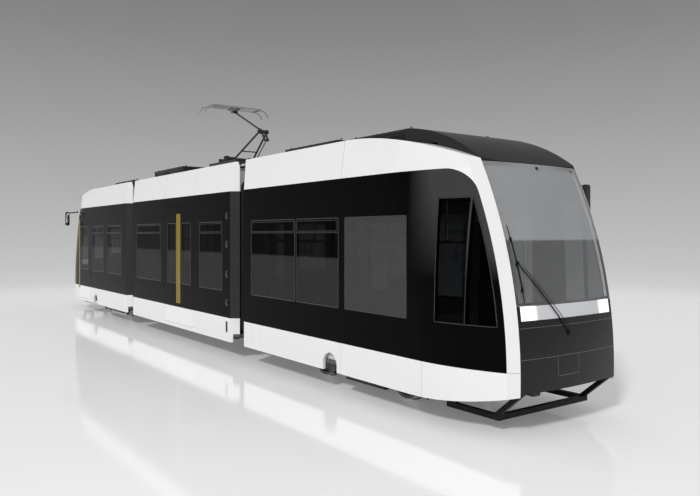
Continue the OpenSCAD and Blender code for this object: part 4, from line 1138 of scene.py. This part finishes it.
piece = begin("middle_lining")
for side in (-1, 1):
    for x0, x1 in ((-2.40, MID_DOOR[0] - 0.02), (MID_DOOR[1] + 0.02, 2.40)):
        a, b = sorted((-side * x0, -side * x1))
        lining(side, a, b, FLOOR_Z + 0.002, SILL - 0.012)
        lining(side, a, b, HEAD + 0.012, 2.56)
    for x0, x1 in ((-2.40, MIDDLE[0][0] - 0.012), (MIDDLE[0][1] + 0.012, MID_DOOR[0] - 0.02),
                   (MID_DOOR[1] + 0.02, MIDDLE[1][0] - 0.012), (MIDDLE[1][1] + 0.012, 2.40)):
        a, b = sorted((-side * x0, -side * x1))
        lining(side, a, b, SILL - 0.012, HEAD + 0.012)
ceiling(-2.47, 2.47)
end(piece, "pale_lining", "grey_lining", "middle_car")


def straps(x0, x1, count, y):
    """Hanging grab loops on a rail."""
    made = []
    for i in range(count):
        x = x0 + (x1 - x0) * (i + 0.5) / count
        loop = [(x + 0.045 * math.sin(k * math.pi / 8), y, 1.76 + 0.052 * math.cos(k * math.pi / 8)) for k in range(16)]
        made += [tube(loop, 0.007, True), tube([(x, y, 1.81), (x, y, 1.955)], 0.008)]
    return made


def rails(name, x0, x1, poles, body, ends):
    """Grab poles from floor to ceiling, and rails with loops along the aisle."""
    parts = []
    for y in (-0.56, 0.56):
        parts.append(tube(bent([(x0, y, 2.62), (x0, y, 1.96), (x1, y, 1.96), (x1, y, 2.62)], 0.08, 8), 0.016, sides=4))
        parts += straps(x0 + 0.15, x1 - 0.15, int((x1 - x0) / 0.34), y)
    for x, y in poles:
        parts.append(tube([(x, y, FLOOR_Z), (x, y, 2.62)], 0.017, sides=4))
    piece = joined(name, parts)
    (both_ends if ends else end)(piece, "brushed_steel", "plate_alloy", body, 60)


rails("front_rails", END_X + 0.20, 6.90, ((5.84, 0.80), (6.99, 0.72), (5.84, -0.56)), "front_car", True)
rails("middle_rails", -2.35, 2.35, ((-0.56, -0.80), (0.97, -0.80), (0.56, 0.80), (-0.97, 0.80)), "middle_car", False)

# ---- padded seats

def stuffed(name, wide, deep, tall, swell):
    """A stuffed pad standing on z = 0, centred on the origin in plan."""
    begin(name)
    bpy.ops.mesh.primitive_cube_add(size=1, location=(0, 0, tall / 2), scale=(deep - swell, wide - swell, tall - swell))
    bpy.ops.mesh.bevel(offset=0.016, segments=3, affect="EDGES")
    pad = close()
    skin = pad.modifiers.new("skin", "REMESH")
    skin.mode = "VOXEL"
    skin.voxel_size = 0.014
    bpy.ops.object.modifier_apply(modifier="skin")
    rest = [v.co.copy() for v in pad.data.vertices]
    cloth = pad.modifiers.new("stuffing", "CLOTH")
    cloth.settings.use_pressure = True
    cloth.settings.uniform_pressure_force = 4.0
    cloth.settings.effector_weights.gravity = 0.0
    cloth.point_cache.frame_end = 20
    for frame_number in range(1, 21):
        bpy.context.scene.frame_set(frame_number)
    bpy.ops.object.modifier_apply(modifier="stuffing")
    bpy.context.scene.frame_set(1)
    low = min(p.z for p in rest)
    for v, p in zip(pad.data.vertices, rest):
        shift = v.co - p
        if shift.length > swell:
            v.co = p + shift * (swell / shift.length)
        v.co.z = max(v.co.z, low)
        # sides pull in between the corners, and the top is crowned
        u, w = v.co.x / (deep / 2), v.co.y / (wide / 2)
        if v.co.z > low + 0.01:
            v.co.z += swell * 0.8 * max(0.0, 1 - u * u) * max(0.0, 1 - w * w)
        v.co.x *= 1 - 0.018 * max(0.0, 1 - w * w)
        v.co.y *= 1 - 0.018 * max(0.0, 1 - u * u)
    bpy.ops.object.shade_smooth()
    return pad


def welt(wide, deep, z):
    """Piping round a pad's edge."""
    r = 0.03
    corners = [(deep / 2 - r, wide / 2 - r, 0), (-deep / 2 + r, wide / 2 - r, 90), (-deep / 2 + r, -wide / 2 + r, 180),
               (deep / 2 - r, -wide / 2 + r, 270)]
    pts = []
    for x, y, start in corners:
        for i in range(6):
            a = math.radians(start + i * 18)
            pts.append((x + r * math.cos(a), y + r * math.sin(a), z))
    return tube(pts, 0.0035, True, 2)


PAD_W, PAD_D, PAD_T, BACK_T = 0.448, 0.425, 0.062, 0.052
seat_pad = joined("pad_seat", [stuffed("pad_seat", PAD_W, PAD_D, PAD_T, 0.012), welt(PAD_W - 0.012, PAD_D - 0.012, 0.040)])
back_pad = joined("pad_back", [stuffed("pad_back", PAD_W, 0.50, BACK_T, 0.010), welt(PAD_W - 0.012, 0.488, 0.034)])


def stand_up(pad):
    """A back pad turned upright, with its front to +X."""
    made = copy_of(pad)
    made.rotation_euler = (0, math.pi / 2, 0)
    bpy.ops.object.transform_apply(location=False, rotation=True, scale=False)
    return made


upright = stand_up(back_pad)


def place_seat(x, y, z, face):
    """The two pads of one seat whose back is at x, and which faces +X, -X, +Y or -Y."""
    turn = {"+x": 0.0, "+y": math.pi / 2, "-x": math.pi, "-y": -math.pi / 2}[face]
    c, s = round(math.cos(turn)), round(math.sin(turn))
    cushion, back = 0.075 + PAD_D / 2 - 0.064, 0.010
    return [copy_of(seat_pad, (x + c * (cushion + 0.062), y + s * (cushion + 0.062), z), turn),
            copy_of(upright, (x + c * back, y + s * back, z + 0.065 + 0.25), turn)]


SEAT_Z, SEAT_TOP = 0.800, 1.39
OUT_Y = HALF_W - 0.08
end_seats = [(BOGIE_X + a * 0.9 + f * 0.004, side, f) for a in (-1, 1) for side in (-1, 1) for f in (-1, 1)
             if side < 0 or a < 0]
pads = []
for x, side, f in end_seats:
    pads += place_seat(x + f * 0.012, side * (OUT_Y - 0.23), SEAT_Z + 0.006, "+x" if f > 0 else "-x")
piece = joined("front_seat_pads", pads)
seat_pieces = both_ends(piece, "seat_fabric", "seat_fabric", angle=60, replaced=("front_seats",))

piece = begin("front_seat_frames")
for x, side, f in end_seats:
    y = side * (OUT_Y - 0.23)
    xa, xb = sorted((x + f * 0.002, x + f * 0.437))
    block((xa, y - 0.228, SEAT_Z - 0.022), (xb, y + 0.228, SEAT_Z + 0.004), 0.012, 3)
    xa, xb = sorted((x + f * 0.001, x + f * 0.014))
    block((xa, y - 0.228, SEAT_Z), (xb, y + 0.228, SEAT_TOP - 0.004), 0.006, 3)
    xa, xb = sorted((x + f * 0.07, x + f * 0.37))
    block((xa, y - 0.16, 0.652), (xb, y + 0.16, SEAT_Z - 0.02), 0.02, 3)
shells, grips = close(), []
for x, side, f in end_seats:
    y = side * (OUT_Y - 0.40)
    grips.append(tube(bent([(x + f * 0.02, y, SEAT_TOP - 0.03), (x + f * 0.02, y, SEAT_TOP + 0.045),
                            (x + f * 0.02, y - side * 0.10, SEAT_TOP + 0.045), (x + f * 0.02, y - side * 0.10, SEAT_TOP - 0.03)], 0.03), 0.010))
piece = joined("front_seat_frames", [shells] + grips)
both_ends(piece, "dark_plastic", "seat_fabric")

pads = []
benches = ((-2.160, 3, 0.4667), (1.180, 2, 0.46))
for side in (-1, 1):
    for x0, count, pitch in benches:
        for i in range(count):
            x = x0 + (i + 0.5) * pitch
            pads += place_seat(-side * x, side * (OUT_Y - 0.014), SEAT_Z + 0.006, "+y" if side < 0 else "-y")
piece = joined("middle_seat_pads", pads)
end(piece, "seat_fabric", "seat_fabric", "middle_car", 60, ("middle_seats",))
piece = begin("middle_seat_frames")
for side in (-1, 1):
    for x0, count, pitch in benches:
        a, b = sorted((-side * x0, -side * (x0 + count * pitch)))
        on_side(side, a, b, SEAT_Z - 0.022, SEAT_Z + 0.004, OUT_Y - 0.437, OUT_Y, 0.012)
        on_side(side, a, b, SEAT_Z, 1.388, OUT_Y - 0.014, OUT_Y, 0.005)
        on_side(side, a + 0.07, b - 0.07, FLOOR_Z, SEAT_Z - 0.02, OUT_Y - 0.37, OUT_Y - 0.07, 0.02)
end(piece, "dark_plastic", "seat_fabric", "middle_car")
for spare in (seat_pad, back_pad, upright):
    bpy.data.objects.remove(spare)

# ---- cab: desk, screens, driver's seat and the wall behind

piece = begin("front_console")
block((7.66, -0.70, FLOOR_Z), (7.915, 0.70, 1.00), 0.03, 4)
block((7.545, -0.64, 0.84), (7.70, 0.64, 0.90), 0.02, 4)
block((7.70, -0.56, 0.98), (7.88, 0.56, 1.02), 0.015, 3)
for side in (-1, 1):
    block((7.56, side * 0.55 - 0.13, FLOOR_Z), (7.68, side * 0.55 + 0.13, 0.86), 0.02, 3)
for y in (-0.34, 0.0, 0.34):
    block((7.668, y - 0.13, 0.905), (7.690, y + 0.13, 1.018), 0.008, 3)
for y in (-0.46, 0.46):
    lathe((7.61, y, 0.898), (0, 0, 1), [(0, 0.035), (0.012, 0.032), (0.016, 0.010), (0.075, 0.009), (0.080, 0.020), (0.105, 0.020), (0.112, 0.012)])
for i in range(9):
    lathe((7.585 + 0.04 * (i % 3), -0.14 + 0.10 * (i // 3), 0.899), (0, 0, 1), [(0, 0.011), (0.006, 0.011), (0.008, 0.008)], 16)
both_ends(piece, "dark_plastic", "dark_plastic", replaced=("front_desk",))

piece = begin("front_console_screens")
for y in (-0.34, 0.0, 0.34):
    block((7.664, y - 0.105, 0.918), (7.669, y + 0.105, 1.005), 0.003)
both_ends(piece, "mask_black", "dark_plastic")

seat_flat = stuffed("driver_pad", 0.46, 0.32, 0.060, 0.012)
back_flat = stuffed("driver_back", 0.46, 0.56, 0.052, 0.010)
spares = (seat_flat, back_flat, stand_up(back_flat))
seat, back = copy_of(seat_flat, (7.335, -0.04, 0.885)), copy_of(spares[2], (7.134, -0.04, 1.235))
for spare in spares:
    bpy.data.objects.remove(spare)
piece = joined("front_driver_pads", [seat, back])
driver = both_ends(piece, "seat_fabric", "dark_plastic", angle=60)

piece = begin("front_driver_frame")
block((7.155, -0.27, 0.862), (7.50, 0.19, 0.888), 0.012, 3)
block((7.131, -0.27, 0.90), (7.145, 0.19, 1.53), 0.006, 3)
lathe((7.34, -0.04, FLOOR_Z), (0, 0, 1), [(0, 0.15), (0.02, 0.15), (0.035, 0.05), (0.20, 0.045), (0.21, 0.032), (0.44, 0.032)], 28)
for side in (-1, 1):
    block((7.16, -0.04 + side * 0.25 - 0.018, 1.06), (7.42, -0.04 + side * 0.25 + 0.018, 1.095), 0.012, 3)
both_ends(piece, "dark_plastic", "dark_plastic")

piece = begin("front_cab_wall")
block((7.002, -0.98, FLOOR_Z), (7.028, 0.30, 1.15), 0.006)
block((7.002, -0.98, 2.22), (7.028, 0.30, 2.30), 0.006)
for y in (-0.98, -0.36, 0.26):
    block((7.002, y, 1.10), (7.028, y + 0.04, 2.26), 0.005)
both_ends(piece, "grey_lining", "dark_plastic")

# ---- stage: floor, light and camera

def floor_finish():
    """White floor with a soft gloss, fading out before its edge."""
    made = bpy.data.materials.new("stage_floor")
    made.use_nodes = True
    tree = made.node_tree
    shader = tree.nodes["Principled BSDF"]
    coords, x, y, z = place(tree)
    put(shader.inputs["Base Color"], blend_colour(tree, speckle(tree, coords, 0.8), (0.93, 0.93, 0.93, 1),
                                                  (0.96, 0.96, 0.96, 1)))
    shader.inputs["Roughness"].default_value = 0.09
    shader.inputs["Emission Color"].default_value = (1.0, 1.0, 1.0, 1)
    shader.inputs["Emission Strength"].default_value = 0.14
    shader.inputs["Specular IOR Level"].default_value = 0.55
    dx, dy = maths(tree, "SUBTRACT", x, 0.5), maths(tree, "SUBTRACT", y, 1.5)
    r = maths(tree, "SQRT", maths(tree, "ADD", maths(tree, "MULTIPLY", dx, dx), maths(tree, "MULTIPLY", dy, dy)))
    fade = tree.nodes.new("ShaderNodeMapRange")
    fade.interpolation_type = "SMOOTHSTEP"
    put(fade.inputs["Value"], r)
    for socket, value in zip(fade.inputs[1:5], (11.0, 19.0, 0.0, 1.0)):
        socket.default_value = value
    clear = tree.nodes.new("ShaderNodeBsdfTransparent")
    mix = tree.nodes.new("ShaderNodeMixShader")
    put(mix.inputs[0], fade.outputs[0])
    put(mix.inputs[1], shader.outputs[0])
    put(mix.inputs[2], clear.outputs[0])
    put(tree.nodes["Material Output"].inputs["Surface"], mix.outputs[0])
    return made


bpy.ops.object.select_all(action="DESELECT")
bpy.ops.mesh.primitive_circle_add(vertices=96, radius=22, fill_type="NGON", location=(0, 0, 0))
floor = bpy.context.object
floor.name = "stage_floor"
floor.data.materials.append(floor_finish())


def sky():
    """A grey studio wall, pale at the horizon, that only rays from the eye, gloss and glass see."""
    world = bpy.data.worlds.new("studio")
    bpy.context.scene.world = world
    world.use_nodes = True
    tree = world.node_tree
    coords = tree.nodes.new("ShaderNodeTexCoord").outputs["Generated"]
    split = tree.nodes.new("ShaderNodeSeparateXYZ")
    put(split.inputs[0], coords)
    height = tree.nodes.new("ShaderNodeMapRange")
    put(height.inputs["Value"], split.outputs[2])
    for socket, value in zip(height.inputs[1:5], (-0.12, 0.40, 0.0, 1.0)):
        socket.default_value = value
    ramp = tree.nodes.new("ShaderNodeValToRGB")
    put(ramp.inputs[0], height.outputs[0])
    stops = ((0.0, 0.86), (0.06, 0.70), (0.11, 0.600), (0.155, 0.545), (0.243, 0.49), (0.328, 0.445), (0.44, 0.392),
             (0.55, 0.337), (0.656, 0.292), (0.758, 0.246), (0.849, 0.216), (1.0, 0.185))
    ramp.color_ramp.elements[0].position, ramp.color_ramp.elements[1].position = stops[0][0], stops[-1][0]
    for at, level in stops[1:-1]:
        ramp.color_ramp.elements.new(at)
    for element, (at, level) in zip(ramp.color_ramp.elements, stops):
        element.position = at
        element.color = (level, level, level, 1)
    shown = tree.nodes.new("ShaderNodeBackground")
    put(shown.inputs["Color"], ramp.outputs[0])
    lighting = tree.nodes.new("ShaderNodeBackground")
    lighting.inputs["Color"].default_value = (1.0, 1.0, 1.0, 1)
    lighting.inputs["Strength"].default_value = 0.52
    light = tree.nodes.new("ShaderNodeLightPath")
    seen = maths(tree, "MAXIMUM", light.outputs["Is Camera Ray"], light.outputs["Is Glossy Ray"])
    seen = maths(tree, "MAXIMUM", seen, light.outputs["Is Transmission Ray"])
    mix = tree.nodes.new("ShaderNodeMixShader")
    put(mix.inputs[0], seen)
    put(mix.inputs[1], lighting.outputs[0])
    put(mix.inputs[2], shown.outputs[0])
    put(tree.nodes["World Output"].inputs["Surface"], mix.outputs[0])


sky()
bpy.ops.object.select_all(action="DESELECT")
bpy.ops.object.light_add(type="SUN", location=(4, -8, 8))
key = bpy.context.object
key.data.energy = 1.9
key.data.angle = math.radians(7)
key.visible_glossy = False
key.rotation_euler = Vector((0.38, -0.74, 0.62)).to_track_quat("Z", "Y").to_euler()

bpy.ops.object.camera_add(location=(12.689, -6.161, 2.067), rotation=(math.pi / 2, 0, math.radians(54.0)))
camera = bpy.context.object
camera.data.lens = 35.04
camera.data.sensor_width = 36.0
camera.data.shift_y = -0.0194
bpy.context.scene.camera = camera
bpy.context.scene.view_settings.view_transform = "Standard"
